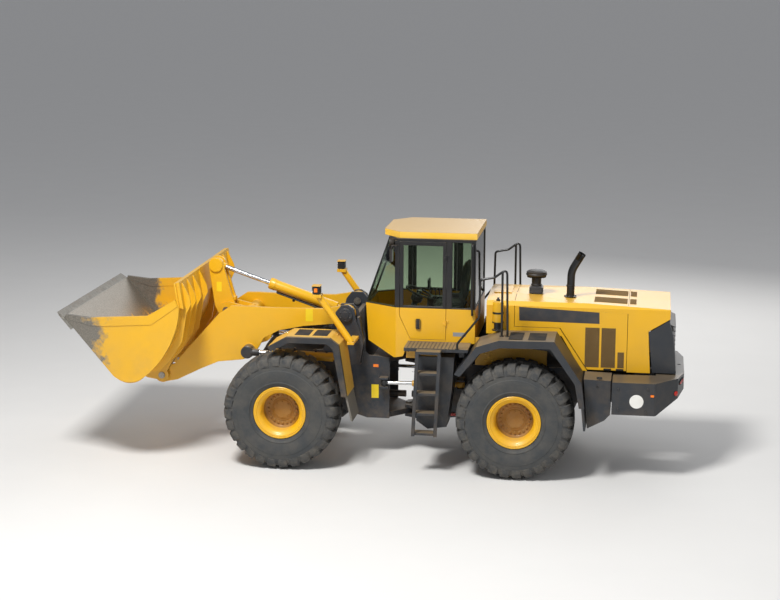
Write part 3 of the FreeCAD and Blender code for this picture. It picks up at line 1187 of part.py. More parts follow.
stack_foot = hood_top(-716, 250) - 15
stack = pipe("stack_pipe", [
    (-S.stack_place, S.stack_side, stack_foot), (-S.stack_place, S.stack_side, 2960),
    (-S.stack_place - 190, S.stack_side, 3230)], S.stack_radius, 240)
stack_way = pipe("stack_way", [
    (-S.stack_place, S.stack_side, stack_foot + 200), (-S.stack_place, S.stack_side, 2960),
    (-S.stack_place - 190.6, S.stack_side, 3230.8)], S.stack_radius - 6, 240)
stack_flange = rod("stack_flange", "Z", -S.stack_place, S.stack_side, stack_foot, S.stack_radius + 35, 45)
hood_seat = group("hood_seat", hood_outer)
bind(hood_seat, "Placement.Base.z", S.seat)
finish("exhaust", cut("exhaust_cut", fuse("exhaust_whole", stack, stack_flange), stack_way, hood_seat))
cleaner_foot = hood_top(-204, 150) - 12
cleaner = lathe("cleaner_form", [
    (0, 150), (72, 150), (72, 255), (100, 275), (152, 290), (160, 325), (150, 350), (90, 378), (0, 385)])
cleaner_box = box("cleaner_box", -115, 115, -115, 115, 0, 165)
cleaner_placed = place(group("cleaner_placed", fuse("cleaner_whole", cleaner, cleaner_box)),
                       -204, 150, cleaner_foot)
finish("air_cleaner", cut("air_cleaner_cut", cleaner_placed, hood_seat))


# Cab: lower tub and posts in one welded frame

cab_in = S.cab_half - S.cab_wall
tub_side = [
    (S.cab_rear, S.cab_floor), (1640, S.cab_floor), (1720, 1625), (1860, 1600), (2285, 1790),
    (S.cab_front, S.glass_sill), (S.cab_rear, S.glass_sill)]
room_side = [
    (S.cab_rear + S.cab_wall, S.cab_floor + 40), (1665, S.cab_floor + 40), (1745, 1665), (1855, 1645),
    (2240, 1815), (S.cab_front - S.cab_wall, S.glass_sill + 10),
    (S.cab_rear + S.cab_wall, S.glass_sill + 10)]


def cab_plan(name, inset, low, high):
    back, front = S.cab_rear + inset, S.cab_front - inset
    half, nose, corner = S.cab_half - inset, S.nose_half - inset * 0.6, S.cab_corner - inset * 0.4
    return prism(name, "plan", [
        (back, -half), (corner, -half), (front, -nose), (front, nose), (corner, half), (back, half)],
        low, high)


tub = cut("tub", common("tub_form", cab_plan("tub_plan", as_size(0), 1500, 2500),
                        prism("tub_side", "side", tub_side, -S.cab_half, S.cab_half)),
          common("tub_room", cab_plan("tub_room_plan", S.cab_wall, 1500, 2500),
                 prism("tub_room_side", "side", room_side, -S.cab_half, S.cab_half)))
door_outline = [
    (S.door_rear, S.door_sill), (1610, S.door_sill), (S.door_front, 2240), (S.door_front, S.door_top),
    (S.door_rear, S.door_top)]
gap = S.seam_gap
door_way = prism("door_way", "side", [
    (S.door_rear - gap, S.door_sill - gap), (1613, S.door_sill - gap), (S.door_front + gap, 2235),
    (S.door_front + gap, S.door_top + gap), (S.door_rear - gap, S.door_top + gap)],
    -S.cab_half - 20, S.cab_half + 20)
ring_low = S.cab_eaves - S.ring_height
ring_outer = prism("ring_outer", "plan", [
    (S.cab_rear, -S.cab_half), (S.cab_corner - 20, -S.cab_half), (S.screen_top, -S.nose_half),
    (S.screen_top, S.nose_half), (S.cab_corner - 20, S.cab_half), (S.cab_rear, S.cab_half)],
    ring_low, S.cab_eaves)
ring_inner = prism("ring_inner", "plan", [
    (S.cab_rear + S.cab_wall, -cab_in), (S.cab_corner - 45, -cab_in), (S.screen_top - 60, -S.nose_half + 30),
    (S.screen_top - 60, S.nose_half - 30), (S.cab_corner - 45, cab_in), (S.cab_rear + S.cab_wall, cab_in)],
    ring_low - 10, S.cab_eaves + 10)
POSTS = (("rear", 650, 715), ("middle", 1000, 1079), ("front", 1776, 1845))
posts = []
for label, back, front in POSTS:
    posts.append(prism("post_" + label, "side", [
        (back, S.glass_sill - 5), (front, S.glass_sill - 5), (front, ring_low + 5), (back, ring_low + 5)],
        cab_in, S.cab_half))
screen_bar = prism("screen_bar", "side", [
    (S.cab_front - 32, S.glass_sill - 5), (S.cab_front, S.glass_sill - 5),
    (S.screen_top, ring_low + 5), (S.screen_top - 32, ring_low + 5)], S.nose_half - 26, S.nose_half)
cab_posts = both_sides("cab_posts_both", fuse("cab_posts", *posts, screen_bar))
roof_plan = prism("roof_plan", "plan", [
    (S.cab_rear - 15, -S.roof_half), (S.cab_corner - 50, -S.roof_half), (S.screen_top + 60, -S.nose_half),
    (S.screen_top + 60, S.nose_half), (S.cab_corner - 50, S.roof_half), (S.cab_rear - 15, S.roof_half)],
    S.cab_eaves + S.seat, S.cab_eaves + S.roof_rise)
finish("cab_roof", fuse("cab_roof_whole", roof_plan))

# Doors with their glass

door_frame = cut("door_frame", prism("door_form", "side", door_outline, cab_in, S.cab_half),
                 prism("door_window", "side", [
                     (S.door_rear + 45, S.glass_sill + 15), (S.door_front - 45, S.glass_sill + 15),
                     (S.door_front - 45, S.door_top - 50), (S.door_rear + 45, S.door_top - 50)],
                     cab_in - 10, S.cab_half + 10),
                 prism("door_hollow", "side", [
                     (S.door_rear + 45, S.door_sill + 45), (1585, S.door_sill + 45),
                     (S.door_front - 50, 2260), (S.door_front - 50, S.glass_sill - 30),
                     (S.door_rear + 45, S.glass_sill - 30)], cab_in - 10, S.cab_half - 25))
door_glass = box("door_glass", S.door_rear + 45, S.door_front - 45, S.cab_half - 20,
                 S.cab_half - 20 + S.glass_wall, S.glass_sill + 15, S.door_top - 50)

HINGE_LEVELS = (2150, 3130)


def hinge_part(name, back, front, level):
    """A leaf on the cab's side with the knuckle that the door turns on."""
    leaf = box(name + "_leaf", back, front, S.cab_half, S.cab_half + 6, level, level + 40)
    knuckle = rod(name + "_knuckle", "Z", S.door_rear - 3, S.cab_half + 14, level, 12, 40)
    return fuse(name, leaf, knuckle)


door_knuckles = [hinge_part("door_hinge_%d" % level, S.door_rear - 3, S.door_rear + 40, level - 40 - S.seat)
                 for level in HINGE_LEVELS]
handle = box("door_handle", 1460, 1530, S.cab_half, S.cab_half + 28, 2065, 2190)
door_left = fuse("door_left_whole", door_frame, handle, *door_knuckles)
cab_knuckles = both_sides("cab_hinges_both", fuse("cab_hinges", *[
    hinge_part("cab_hinge_%d" % level, S.door_rear - 45, S.door_rear - 3, level) for level in HINGE_LEVELS]))
finish("cab_frame", fuse("cab_frame_hinged", cut("cab_frame_cut", fuse(
    "cab_frame_whole", tub, cut("ring", ring_outer, ring_inner), cab_posts), door_way), cab_knuckles))
finish("door_left", group("door_left_one", door_left))
finish("door_right", mirrored("door_right_twin", door_left))
finish("door_glass_left", group("door_glass_one", door_glass))
finish("door_glass_right", mirrored("door_glass_twin", door_glass))

# Fixed glass

side_pane = box("side_pane", 715, 1000, S.cab_half - 20, S.cab_half - 20 + S.glass_wall,
                S.glass_sill, ring_low)
rear_pane = box("rear_pane", S.cab_rear + 12, S.cab_rear + 12 + S.glass_wall, -cab_in, cab_in,
                S.glass_sill, ring_low)
screen = prism("screen", "side", [
    (S.cab_front - 18, S.glass_sill), (S.cab_front - 10, S.glass_sill),
    (S.screen_top - 10, ring_low), (S.screen_top - 18, ring_low)], -S.nose_half + 26, S.nose_half - 26)


def corner_pane():
    """The wrap-round pane between the front post and the windscreen, wider at its foot."""
    post, nose = S.cab_half.value - 14, S.nose_half.value + 0.5
    start = POSTS[2][2]
    wall = S.glass_wall.value
    low, high = S.glass_sill.value, ring_low.value
    rows = []
    for level, front in ((low, S.cab_front.value), (high, S.screen_top.value)):
        rows.append(Part.makePolygon([
            Vector(start, post, level), Vector(front - 14, nose, level),
            Vector(front - 14 - wall, nose, level), Vector(start, post - wall * 1.6, level),
            Vector(start, post, level)]))
    pane = numbered("Part::Feature", "corner_pane")
    pane.Shape = Part.makeLoft(rows, True, True)
    return pane


pane_pair = [side_pane, corner_pane()]
finish("cab_glass", group("cab_glass_all", *pane_pair, rear_pane, screen,
                          *[mirrored(pane.Name + "_right", pane) for pane in pane_pair]))

# Seat, dash and steering column

seat_x = 1080
seat_base = box("seat_base_form", seat_x - 190, seat_x + 190, -170, 170, S.cab_floor + 40 + S.seat,
                S.cab_floor + 380)
cushion = box("cushion", seat_x - 230, seat_x + 270, -250, 250, S.cab_floor + 380 + S.seat,
              S.cab_floor + 500)
backrest = prism("backrest", "side", [
    (seat_x - 230, S.cab_floor + 500 + S.seat), (seat_x - 110, S.cab_floor + 500 + S.seat),
    (seat_x - 190, S.cab_floor + 1130), (seat_x - 290, S.cab_floor + 1130)], -240, 240)
finish("seat_pads", group("seat_pads_all", cushion, backrest))
console = box("console_form", seat_x - 150, seat_x + 420, -500, -300, S.cab_floor + 40 + S.seat,
              S.cab_floor + 520)
column_x, column_z, column_lean, column_long = 1900, 1665, 112, 860
column = slant("column_bar", column_x, 0, column_z, column_lean, 45, -30, column_long)
column_head = slant("column_head", column_x, 0, column_z, column_lean, 90, column_long - 120, 90)
wheel_x = as_size(column_x) + column_long * cosine(column_lean)
wheel_z = as_size(column_z) + column_long * sine(column_lean)
wheel_ring = numbered("Part::Torus", "wheel_ring")
wheel_ring.Radius1 = 205
wheel_ring.Radius2 = 16
wheel_ring.Placement = FreeCAD.Placement(Vector(), FreeCAD.Rotation(Vector(0, 1, 0), 90 - column_lean))
place(wheel_ring, wheel_x, 0, wheel_z)
wheel_hub = slant("wheel_hub", column_x, 0, column_z, column_lean, 40, column_long - 40, 50)
spoke = rod("wheel_spoke", "Y", wheel_x, -200, wheel_z, 14, 400)
steering = cut("steering_column_cut", fuse(
    "steering_column_whole", column, column_head, wheel_ring, wheel_hub, spoke), tub)
finish("cab_fittings", group("cab_fittings_all", seat_base, console, steering))

# Hand rails, grab bars and mirrors

rail_y = deck_edge - 25
rail_long = pipe("rail_long", [
    (860, rail_y, S.deck_height + S.seat), (860, rail_y, S.deck_height + 80), (545, rail_y, 2350),
    (535, rail_y, 2905), (330, rail_y, 2945), (150, rail_y, 3080), (130, rail_y, 2086.8)], S.pipe_radius, 50)
rail_post = pipe("rail_post", [(215, rail_y, 2085.8), (215, rail_y, 3031)], S.pipe_radius, 60)
rails = fuse("rails_one", rail_long, rail_post)
grab = pipe("grab", [
    (690, S.cab_half + S.seat, 3330), (690, S.cab_half + 55, 3330), (690, S.cab_half + 55, 2290),
    (690, S.cab_half + S.seat, 2290)], S.pipe_radius, 30)
finish("hand_rails", group("hand_rails_all", rails, mirrored("rails_right", rails),
                           grab, mirrored("grab_right", grab)))
mirror_arm = pipe("mirror_arm", [
    (1805, S.cab_half + S.seat, 3300), (1805, S.cab_half + 40, 3300), (1885, S.cab_half + 70, 3300),
    (1885, S.cab_half + 70, 3230)], 11, 20)
mirror_head = box("mirror_head", 1865, 1905, S.cab_half + 5, S.cab_half + 150, 3060, 3270)
mirror = fuse("mirror_one", mirror_arm, mirror_head)
finish("mirrors", group("mirrors_both", mirror, mirrored("mirror_right", mirror)))

# Headlamps on slanted posts

lamp_arm = box("lamp_arm", 2400, 2500, S.tower_spread + S.seat, S.lamp_side + 50, 1850, 1890)
lamp_lean = slope(S.lamp_height - 95 - 1880, S.lamp_place - 30 - 2450)
lamp_run = distance(S.lamp_place - 30 - 2450, S.lamp_height - 95 - 1880)
lamp_post = slant("lamp_post", 2450, S.lamp_side, 1880, lamp_lean, 50, 0, lamp_run)
lamp_plate = box("lamp_plate", S.lamp_place - 80, S.lamp_place + 60, S.lamp_side - 80, S.lamp_side + 80,
                 S.lamp_height - 110, S.lamp_height - 65)
lamp_support = fuse("lamp_support", lamp_arm, lamp_post, lamp_plate)
finish("lamp_posts", group("lamp_posts_both", lamp_support, mirrored("lamp_support_right", lamp_support)))
lamp_head = box("lamp_head", S.lamp_place - 60, S.lamp_place + 60, S.lamp_side - 75, S.lamp_side + 75,
                S.lamp_height - 65, S.lamp_height + 65)
finish("headlamps", group("headlamps_both", lamp_head, mirrored("lamp_head_right", lamp_head)))

# Bar that locks the two frames for transport, stowed on the rear frame

finish("lock_bar", group("lock_bar_one", box(
    "lock_bar_form", 960, 1440, S.rail_spread + S.seat, S.rail_spread + 40, 640, 680)))


# Check every object, then write each sub-part to its own file

doc.recompute()
for item in doc.Objects:
    if "Invalid" in item.State or "Error" in item.State:
        raise RuntimeError("%s failed: %s" % (item.Label, item.State))
for item in FINISHED:
    if item.Shape.isNull() or not item.Shape.isValid() or not item.Shape.Solids:
        raise RuntimeError("%s has no valid solid" % item.Label)
os.makedirs("parts", exist_ok=True)
for item in FINISHED:
    item.Shape.exportStep("parts/%s.step" % item.Label)
    box_of = item.Shape.BoundBox
    print("%-24s %d solids  %8.1f litres  X %6.0f to %6.0f  Y %6.0f to %6.0f  Z %6.0f to %6.0f" % (
        item.Label, len(item.Shape.Solids), item.Shape.Volume / 1e6, box_of.XMin, box_of.XMax,
        box_of.YMin, box_of.YMax, box_of.ZMin, box_of.ZMax))
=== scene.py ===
# %% [markdown]
# # Dressing an articulated wheel loader
# The imported CAD model is the skeleton: every plate, pin and cylinder is already in its place,
# in metres, +X to the bucket, +Y to the machine's left and +Z up. This lesson gives each
# surface its real finish and adds what the CAD leaves out: tread, bolts, oil pipes, trim, glass
# rubbers, lamps and the operator's seat.

# %% Load the frame and keep the CAD box
import bpy
import bmesh
import math
import random
from mathutils import Matrix, Vector
from mathutils.bvhtree import BVHTree


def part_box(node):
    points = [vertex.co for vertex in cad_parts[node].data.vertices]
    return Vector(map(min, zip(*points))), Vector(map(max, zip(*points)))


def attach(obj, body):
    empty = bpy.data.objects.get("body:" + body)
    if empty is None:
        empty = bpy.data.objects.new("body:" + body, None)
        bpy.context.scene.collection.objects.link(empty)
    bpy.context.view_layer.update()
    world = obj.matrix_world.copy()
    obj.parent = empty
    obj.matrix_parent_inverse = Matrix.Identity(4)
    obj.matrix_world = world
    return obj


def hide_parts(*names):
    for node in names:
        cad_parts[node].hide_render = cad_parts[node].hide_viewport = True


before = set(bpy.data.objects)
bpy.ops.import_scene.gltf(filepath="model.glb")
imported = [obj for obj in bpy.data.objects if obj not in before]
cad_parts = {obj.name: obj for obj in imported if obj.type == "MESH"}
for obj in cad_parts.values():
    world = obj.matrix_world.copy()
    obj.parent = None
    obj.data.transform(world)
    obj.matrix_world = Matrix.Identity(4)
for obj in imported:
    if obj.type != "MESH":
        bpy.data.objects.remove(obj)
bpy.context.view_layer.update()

# %% [markdown]
# Real machines are measured from an axle. The CAD was drawn in millimetres from the rear
# axle, so one function turns such a place into the metres of the frame. Everything below
# uses it, and the numbers can be compared with a workshop drawing.

# %% Millimetres from the rear axle
low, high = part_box("tyre_rear_left")
REAR_AXLE = (low.x + high.x) / 2
TYRE_RADIUS = (high.z - low.z) / 2
WHEELBASE = (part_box("tyre_front_left")[0].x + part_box("tyre_front_left")[1].x) / 2 - REAR_AXLE
WHEEL_SIDE = (low.y + high.y) / 2
LEFT_RIGHT = (("left", 1), ("right", -1))


def at(x, y, z):
    """A place in millimetres from the rear axle, as a point of the frame."""
    return Vector((x / 1000 + REAR_AXLE, y / 1000, z / 1000))


print("rear axle", round(REAR_AXLE, 4), "tyre radius", round(TYRE_RADIUS, 4), "wheelbase", round(WHEELBASE, 3))

# %% [markdown]
# ## Camera
# The photograph was taken with a long lens from a bank beside the machine, a little behind
# its middle and above it. The camera has that place and that angle of view, and the picture
# is 780 by 600. The plain view transform keeps paint as saturated as a camera in sunlight does.

# %% Camera
LENS, SENSOR = 81.8, 36.0
CAMERA_PLACE = Vector((-4.040, 26.16, 7.654))
CAMERA_TURN, CAMERA_DROP, CAMERA_ROLL = 0.148, 0.199, 0.004

look = Vector((math.sin(CAMERA_TURN) * math.cos(CAMERA_DROP),
               -math.cos(CAMERA_TURN) * math.cos(CAMERA_DROP), -math.sin(CAMERA_DROP)))
side = look.cross(Vector((0, 0, 1))).normalized()
upright = side.cross(look)
side_rolled = side * math.cos(CAMERA_ROLL) + upright * math.sin(CAMERA_ROLL)
up_rolled = side_rolled.cross(look)
camera = bpy.data.objects.new("camera", bpy.data.cameras.new("camera"))
bpy.context.scene.collection.objects.link(camera)
turn = Matrix((side_rolled, up_rolled, -look)).transposed().to_4x4()
camera.matrix_world = Matrix.Translation(CAMERA_PLACE) @ turn
camera.data.lens, camera.data.sensor_width = LENS, SENSOR
camera.data.dof.use_dof = False
bpy.context.scene.camera = camera
bpy.context.scene.view_settings.view_transform = "Standard"
print("camera looks along", [round(v, 3) for v in look])

# %% [markdown]
# ## Floor and light
# A plain pale floor and a big soft light above and in front of the machine's left side, with a
# weaker one from the other side, as in a studio. The floor is a sheet that isn't part of the
# object.

# %% Floor and light
FLOOR_HALF = 400.0


def link(item):
    """Puts a new object in the scene."""
    bpy.context.scene.collection.objects.link(item)
    return item


floor_mesh = bpy.data.meshes.new("studio_floor")
floor_mesh.from_pydata([(-FLOOR_HALF, -FLOOR_HALF, -0.001), (FLOOR_HALF, -FLOOR_HALF, -0.001),
                        (FLOOR_HALF, FLOOR_HALF, -0.001), (-FLOOR_HALF, FLOOR_HALF, -0.001)],
                       [], [(0, 1, 2, 3)])
floor = link(bpy.data.objects.new("studio_floor", floor_mesh))


def soft_light(name, place, size, watts, shine=1.0):
    """A square area light that faces the machine's middle."""
    lamp = bpy.data.lights.new(name, "AREA")
    lamp.size, lamp.energy, lamp.specular_factor = size, watts, shine
    lamp_item = link(bpy.data.objects.new(name, lamp))
    lamp_item.location = place
    lamp_item.rotation_euler = (Vector((0, 0, 1.5)) - Vector(place)).to_track_quat("-Z", "Y").to_euler()
    return lamp_item


soft_light("key_light", (3.0, 9.5, 15.5), 3.6, 3100)
soft_light("fill_light", (-9.0, 12.0, 6.0), 9.0, 170)
soft_light("back_light", (-4.0, -12.0, 9.0), 9.0, 700, shine=0.1)
world = bpy.data.worlds.new("studio_air")
bpy.context.scene.world = world
world.use_nodes = True
world.node_tree.nodes["Background"].inputs["Color"].default_value = (0.90, 0.93, 1.0, 1)
world.node_tree.nodes["Background"].inputs["Strength"].default_value = 0.36

# %% [markdown]
# ## How a finish is made
# A colour is written as the sRGB hex that a paint shop would quote, and one function turns it
# to the linear values that the renderer counts in. One more function adds a node with its
# settings and links. Patterns are measured in millimetres on the object itself, so they ride
# with each piece and stay the right size from any side.

# %% Colour and node helpers
def linear(colour):
    """sRGB hex to the linear colour of a shader socket."""
    parts = [int(colour[i:i + 2], 16) / 255 for i in (1, 3, 5)]
    return (*[p / 12.92 if p <= 0.04045 else ((p + 0.055) / 1.055) ** 2.4 for p in parts], 1.0)


def put(tree, kind, inputs=(), **settings):
    """Adds one node. settings are its own options; inputs are (socket, number or output)."""
    made = tree.nodes.new("ShaderNode" + kind)
    for option, choice in settings.items():
        setattr(made, option, choice)
    for socket, source in inputs:
        if isinstance(source, bpy.types.NodeSocket):
            tree.links.new(source, made.inputs[socket])
        else:
            made.inputs[socket].default_value = source
    return made


def per(millimetres):
    """Noise scale for a pattern whose grain is so many millimetres across."""
    return 1000.0 / millimetres


def start_finish(name):
    """A new material with its tree, its shader and the object's own coordinates."""
    material = bpy.data.materials.new(name)
    material.use_nodes = True
    tree = material.node_tree
    return material, tree, tree.nodes["Principled BSDF"], put(tree, "TexCoord").outputs["Object"]


def blend_colours(tree, share, first, second):
    """The output of a mix from the first colour to the second."""
    return put(tree, "Mix", [(0, share), (6, first), (7, second)], data_type="RGBA").outputs[2]


def spread(tree, source, start, end, first=0.0, last=1.0):
    """Stretches the part of a pattern between start and end to the range first to last."""
    return put(tree, "MapRange", [("Value", source), ("From Min", start), ("From Max", end),
                                  ("To Min", first), ("To Max", last)]).outputs["Result"]


def grain(tree, place, millimetres, detail=3.0, roughness=0.55):
    """Noise whose patches are so many millimetres across."""
    return put(tree, "TexNoise", [("Vector", place), ("Scale", per(millimetres)), ("Detail", detail),
                                  ("Roughness", roughness)]).outputs["Fac"]


def multiply(tree, first, second):
    return put(tree, "Math", [(0, first), (1, second)], operation="MULTIPLY").outputs[0]


# %% [markdown]
# ## Enamel on steel plate
# The machine is sprayed with two-pack alkyd enamel over primer. New, it is a glossy film with
# a faint orange peel; at work it fades in patches, gathers pale quarry dust low down and on
# its upward faces, and loses its film at the corners. The corner mask compares the true
# normal with one that a bevel would have, and the same bevel rounds the edges, as a ground
# and painted plate's are.

# %% Painted steel
DUST = "#A98C63"
SAND = "#B39A74"
PRIMER_GREY = "#4C4842"


def enamel(name, colour, faded, dusty=0.35, gloss=0.36, chips=0.6, dust_top=2.2, masked=(), lying=0.3):
    """Sprayed enamel: fading, orange peel, dust below dust_top metres and lying on top, chipped edges.

    masked lists second colours, as axis, metres beyond which it starts, and colour; across the
    machine both sides count alike.
    """
    material, tree, shader, place = start_finish(name)
    patches = spread(tree, grain(tree, place, 700, 4), 0.35, 0.68)
    fine = grain(tree, place, 28, 5, 0.7)
    coat = blend_colours(tree, patches, linear(colour), linear(faded))
    parts = put(tree, "SeparateXYZ", [("Vector", place)]).outputs
    for axis, start, second in masked:
        reach = put(tree, "Math", [(0, parts[axis])], operation="ABSOLUTE").outputs[0]
        beyond = put(tree, "Math", [(0, reach), (1, start)], operation="GREATER_THAN").outputs[0]
        coat = blend_colours(tree, beyond, coat, linear(second))
    lowness = spread(tree, parts["Z"], dust_top, 0.5, 0.12, 1.0)
    cloud = spread(tree, grain(tree, place, 240, 6, 0.65), 0.42, 0.72)
    dust = multiply(tree, multiply(tree, multiply(tree, lowness, cloud), spread(tree, fine, 0.3, 0.7, 0.55, 1.0)),
                    dusty * 1.6)
    facing_up = put(tree, "SeparateXYZ", [("Vector", put(tree, "TexCoord").outputs["Normal"])]).outputs["Z"]
    settled = multiply(tree, spread(tree, facing_up, 0.72, 0.96), spread(tree, patches, 0.0, 1.0, lying * 0.6, lying))
    dusted = blend_colours(tree, dust, blend_colours(tree, settled, coat, linear(SAND)), linear(DUST))
    bevel = put(tree, "Bevel", [("Radius", 0.006)], samples=4)
    true_normal = put(tree, "NewGeometry").outputs["Normal"]
    alike = put(tree, "VectorMath", [(0, bevel.outputs["Normal"]), (1, true_normal)],
                operation="DOT_PRODUCT").outputs["Value"]
    corner = spread(tree, alike, 0.99, 0.90)
    worn = multiply(tree, corner, spread(tree, grain(tree, place, 45, 5, 0.7), 0.56, 0.62, 0.0, chips))
    base = blend_colours(tree, worn, dusted, linear(PRIMER_GREY))
    tree.links.new(base, shader.inputs["Base Color"])
    tree.links.new(spread(tree, dust, 0.0, 0.6, gloss, 0.85), shader.inputs["Roughness"])
    peel = put(tree, "Bump", [("Height", grain(tree, place, 9, 2)), ("Strength", 0.05), ("Distance", 0.002),
                              ("Normal", bevel.outputs["Normal"])]).outputs["Normal"]
    tree.links.new(peel, shader.inputs["Normal"])
    shader.inputs["IOR"].default_value = 1.5
    shader.inputs["Coat Weight"].default_value = 0.10
    shader.inputs["Coat Roughness"].default_value = 0.12
    return material


YELLOW = enamel("machine_yellow_enamel", "#E9B014", "#E2AC22", dusty=0.16)
# Darker, duller yellow for the steering barrels, the guard under the deck and the wheel-arch panels: painted shade of
# those places, with more dust.
YELLOW_SHADED_DUSTY = enamel("machine_yellow_enamel_dusty_painted_shade", "#D99F1E", "#CB9A32", dusty=0.42, gloss=0.44)
PALE_YELLOW = enamel("roof_yellow_enamel_bleached_top", "#EDB936", "#E8BC52", dusty=0.10, gloss=0.42,
                     masked=[("Z", 3.488, "#C8A66C")], lying=0.35)
CAB_PAINT = enamel("cab_enamel_two_colours", "#E8B016", "#E0AA24", dusty=0.16, chips=0.2,
                   masked=[("Z", 2.362, "#17181A")])
FENDER_PAINT = enamel("front_fender_enamel_two_colours", "#DDA92F", "#CFA64A", dusty=0.3, gloss=0.5,
                      masked=[("Y", 1.402, "#24272B")])
IRON_GREY = enamel("counterweight_grey_enamel", "#24282D", "#2C3035", dusty=0.10, gloss=0.42, chips=0.3)
FRAME_GREY = enamel("deck_grey_enamel", "#24272C", "#2D3136", dusty=0.16, gloss=0.45, chips=0.4, lying=0.45)
STEEL_BLUE_GREY = enamel("frame_blue_grey_enamel", "#262B32", "#31363D", dusty=0.22, gloss=0.48, chips=0.4)
CAB_BLACK = enamel("cab_black_enamel", "#121315", "#1A1B1C", dusty=0.06, gloss=0.3, chips=0.1, lying=0.1)
AXLE_GREY = enamel("axle_grey_enamel", "#24272B", "#33312D", dusty=0.4, gloss=0.55, chips=0.3)
# Darker brown-yellow enamel for the deep wheel recess: painted shade under the rim's lip.
WHEEL_RECESS_SHADE = enamel("wheel_recess_enamel_painted_shade", "#A06D14", "#8C601C", dusty=0.3, gloss=0.5, chips=0.3)
LOCK_RED = enamel("lock_bar_red_enamel", "#B4231A", "#A33024", dusty=0.2, gloss=0.45)
print("enamels", [m.name for m in (YELLOW, CAB_PAINT, IRON_GREY, STEEL_BLUE_GREY, CAB_BLACK)])

# %% [markdown]
# ## Bare steel, chrome, rubber, plastics and glass
# Sand polishes the cutting edge and the bucket's floor to a dull silver with scratches along
# the way it digs. Piston rods are ground and hard-chromed. Tyres are carbon-black rubber,
# grey-brown with dust on the lugs. The cab glass is green-tinted float glass.

# %% Steel, chrome and cast iron
def scoured_steel(name, colour, streak_along, rough=(0.32, 0.6), rust=0.25):
    """Steel ground by sand: streaks stretched along one direction, rust in patches."""
    material, tree, shader, place = start_finish(name)
    stretch = put(tree, "Mapping", [("Vector", place), ("Scale", streak_along)]).outputs["Vector"]
    streaks = grain(tree, stretch, 22, 8, 0.7)
    stains = spread(tree, grain(tree, place, 160, 6, 0.7), 0.5, 0.72, 0.0, rust)
    steel = blend_colours(tree, spread(tree, streaks, 0.3, 0.7), linear(colour), linear("#B9B4AA"))
    tree.links.new(blend_colours(tree, stains, steel, linear("#7A5738")), shader.inputs["Base Color"])
    tree.links.new(spread(tree, streaks, 0.3, 0.7, *rough), shader.inputs["Roughness"])
    scratch = put(tree, "Bump", [("Height", streaks), ("Strength", 0.25), ("Distance", 0.003)])
    tree.links.new(scratch.outputs["Normal"], shader.inputs["Normal"])
    shader.inputs["Metallic"].default_value = 0.85
    return material


EDGE_STEEL = scoured_steel("sand_scoured_edge_steel", "#77756F", (0.12, 1, 1))
PIN_STEEL = scoured_steel("oiled_pin_steel", "#6A6762", (1, 1, 1), rough=(0.3, 0.5), rust=0.12)

CHROME, tree, shader, place = start_finish("ground_hard_chrome")
shader.inputs["Base Color"].default_value = linear("#D8D9DA")
shader.inputs["Metallic"].default_value = 1.0
tree.links.new(spread(tree, grain(tree, place, 12, 3), 0.4, 0.75, 0.17, 0.21), shader.inputs["Roughness"])

CAST_IRON, tree, shader, place = start_finish("sand_cast_iron_painted")
tree.links.new(blend_colours(tree, spread(tree, grain(tree, place, 120, 6), 0.35, 0.7),
                             linear("#2B2D2F"), linear("#4B4338")), shader.inputs["Base Color"])
shader.inputs["Roughness"].default_value = 0.7
tree.links.new(put(tree, "Bump", [("Height", grain(tree, place, 4, 2)), ("Strength", 0.4),
                                  ("Distance", 0.001)]).outputs["Normal"], shader.inputs["Normal"])


# %% Bucket paint that wears through to steel
def bucket_enamel():
    """Yellow enamel that sand has taken off the floor, the edge end and the inner faces."""
    material = enamel("bucket_enamel_worn_through", "#E7AF1A", "#DFAA2C", dusty=0.3, gloss=0.42, chips=0.8)
    tree = material.node_tree
    shader = tree.nodes["Principled BSDF"]
    place = put(tree, "TexCoord").outputs["Object"]
    along = put(tree, "SeparateXYZ", [("Vector", place)]).outputs["X"]
    ragged = grain(tree, place, 260, 7, 0.65)
    reach = put(tree, "Math", [(0, along), (1, spread(tree, ragged, 0.3, 0.7, -0.22, 0.22))], operation="ADD")
    bare = spread(tree, reach.outputs[0], 3.86, 4.02)
    painted = shader.inputs["Base Color"].links[0].from_socket
    steel = blend_colours(tree, spread(tree, grain(tree, place, 18, 8, 0.7), 0.3, 0.7),
                          linear("#6F6C66"), linear("#A39C90"))
    tree.links.new(blend_colours(tree, bare, painted, steel), shader.inputs["Base Color"])
    tree.links.new(multiply(tree, bare, 0.75), shader.inputs["Metallic"])
    return material


BUCKET_YELLOW = bucket_enamel()

# %% Rubber
def rubber(name, colour, dusty, dust_size=90, bump=0.35, rough=0.82):
    """Moulded carbon-black rubber with dry dust in its pores."""
    material, tree, shader, place = start_finish(name)
    cloud = spread(tree, grain(tree, place, dust_size, 6, 0.7), 0.36, 0.66, 0.15, 1.0)
    tree.links.new(blend_colours(tree, multiply(tree, cloud, dusty), linear(colour), linear("#7C7364")),
                   shader.inputs["Base Color"])
    shader.inputs["Roughness"].default_value = rough
    shader.inputs["IOR"].default_value = 1.52
    tree.links.new(put(tree, "Bump", [("Height", grain(tree, place, 14, 5, 0.7)), ("Strength", bump),
                                      ("Distance", 0.003)]).outputs["Normal"], shader.inputs["Normal"])
    return material


TREAD_RUBBER = rubber("earthmover_tread_rubber", "#303438", 0.40)
WALL_RUBBER = rubber("tyre_sidewall_rubber", "#33373A", 0.24, 220, 0.18, 0.72)
TRIM_RUBBER = rubber("glazing_and_flap_rubber", "#1C1D1E", 0.25, 160, 0.1, 0.7)
FLAP_RUBBER = rubber("mud_flap_rubber_dusty", "#6E6A63", 0.35, 160, 0.1, 0.8)
HOSE_RUBBER = rubber("hydraulic_hose_cover", "#161718", 0.3, 120, 0.12, 0.6)


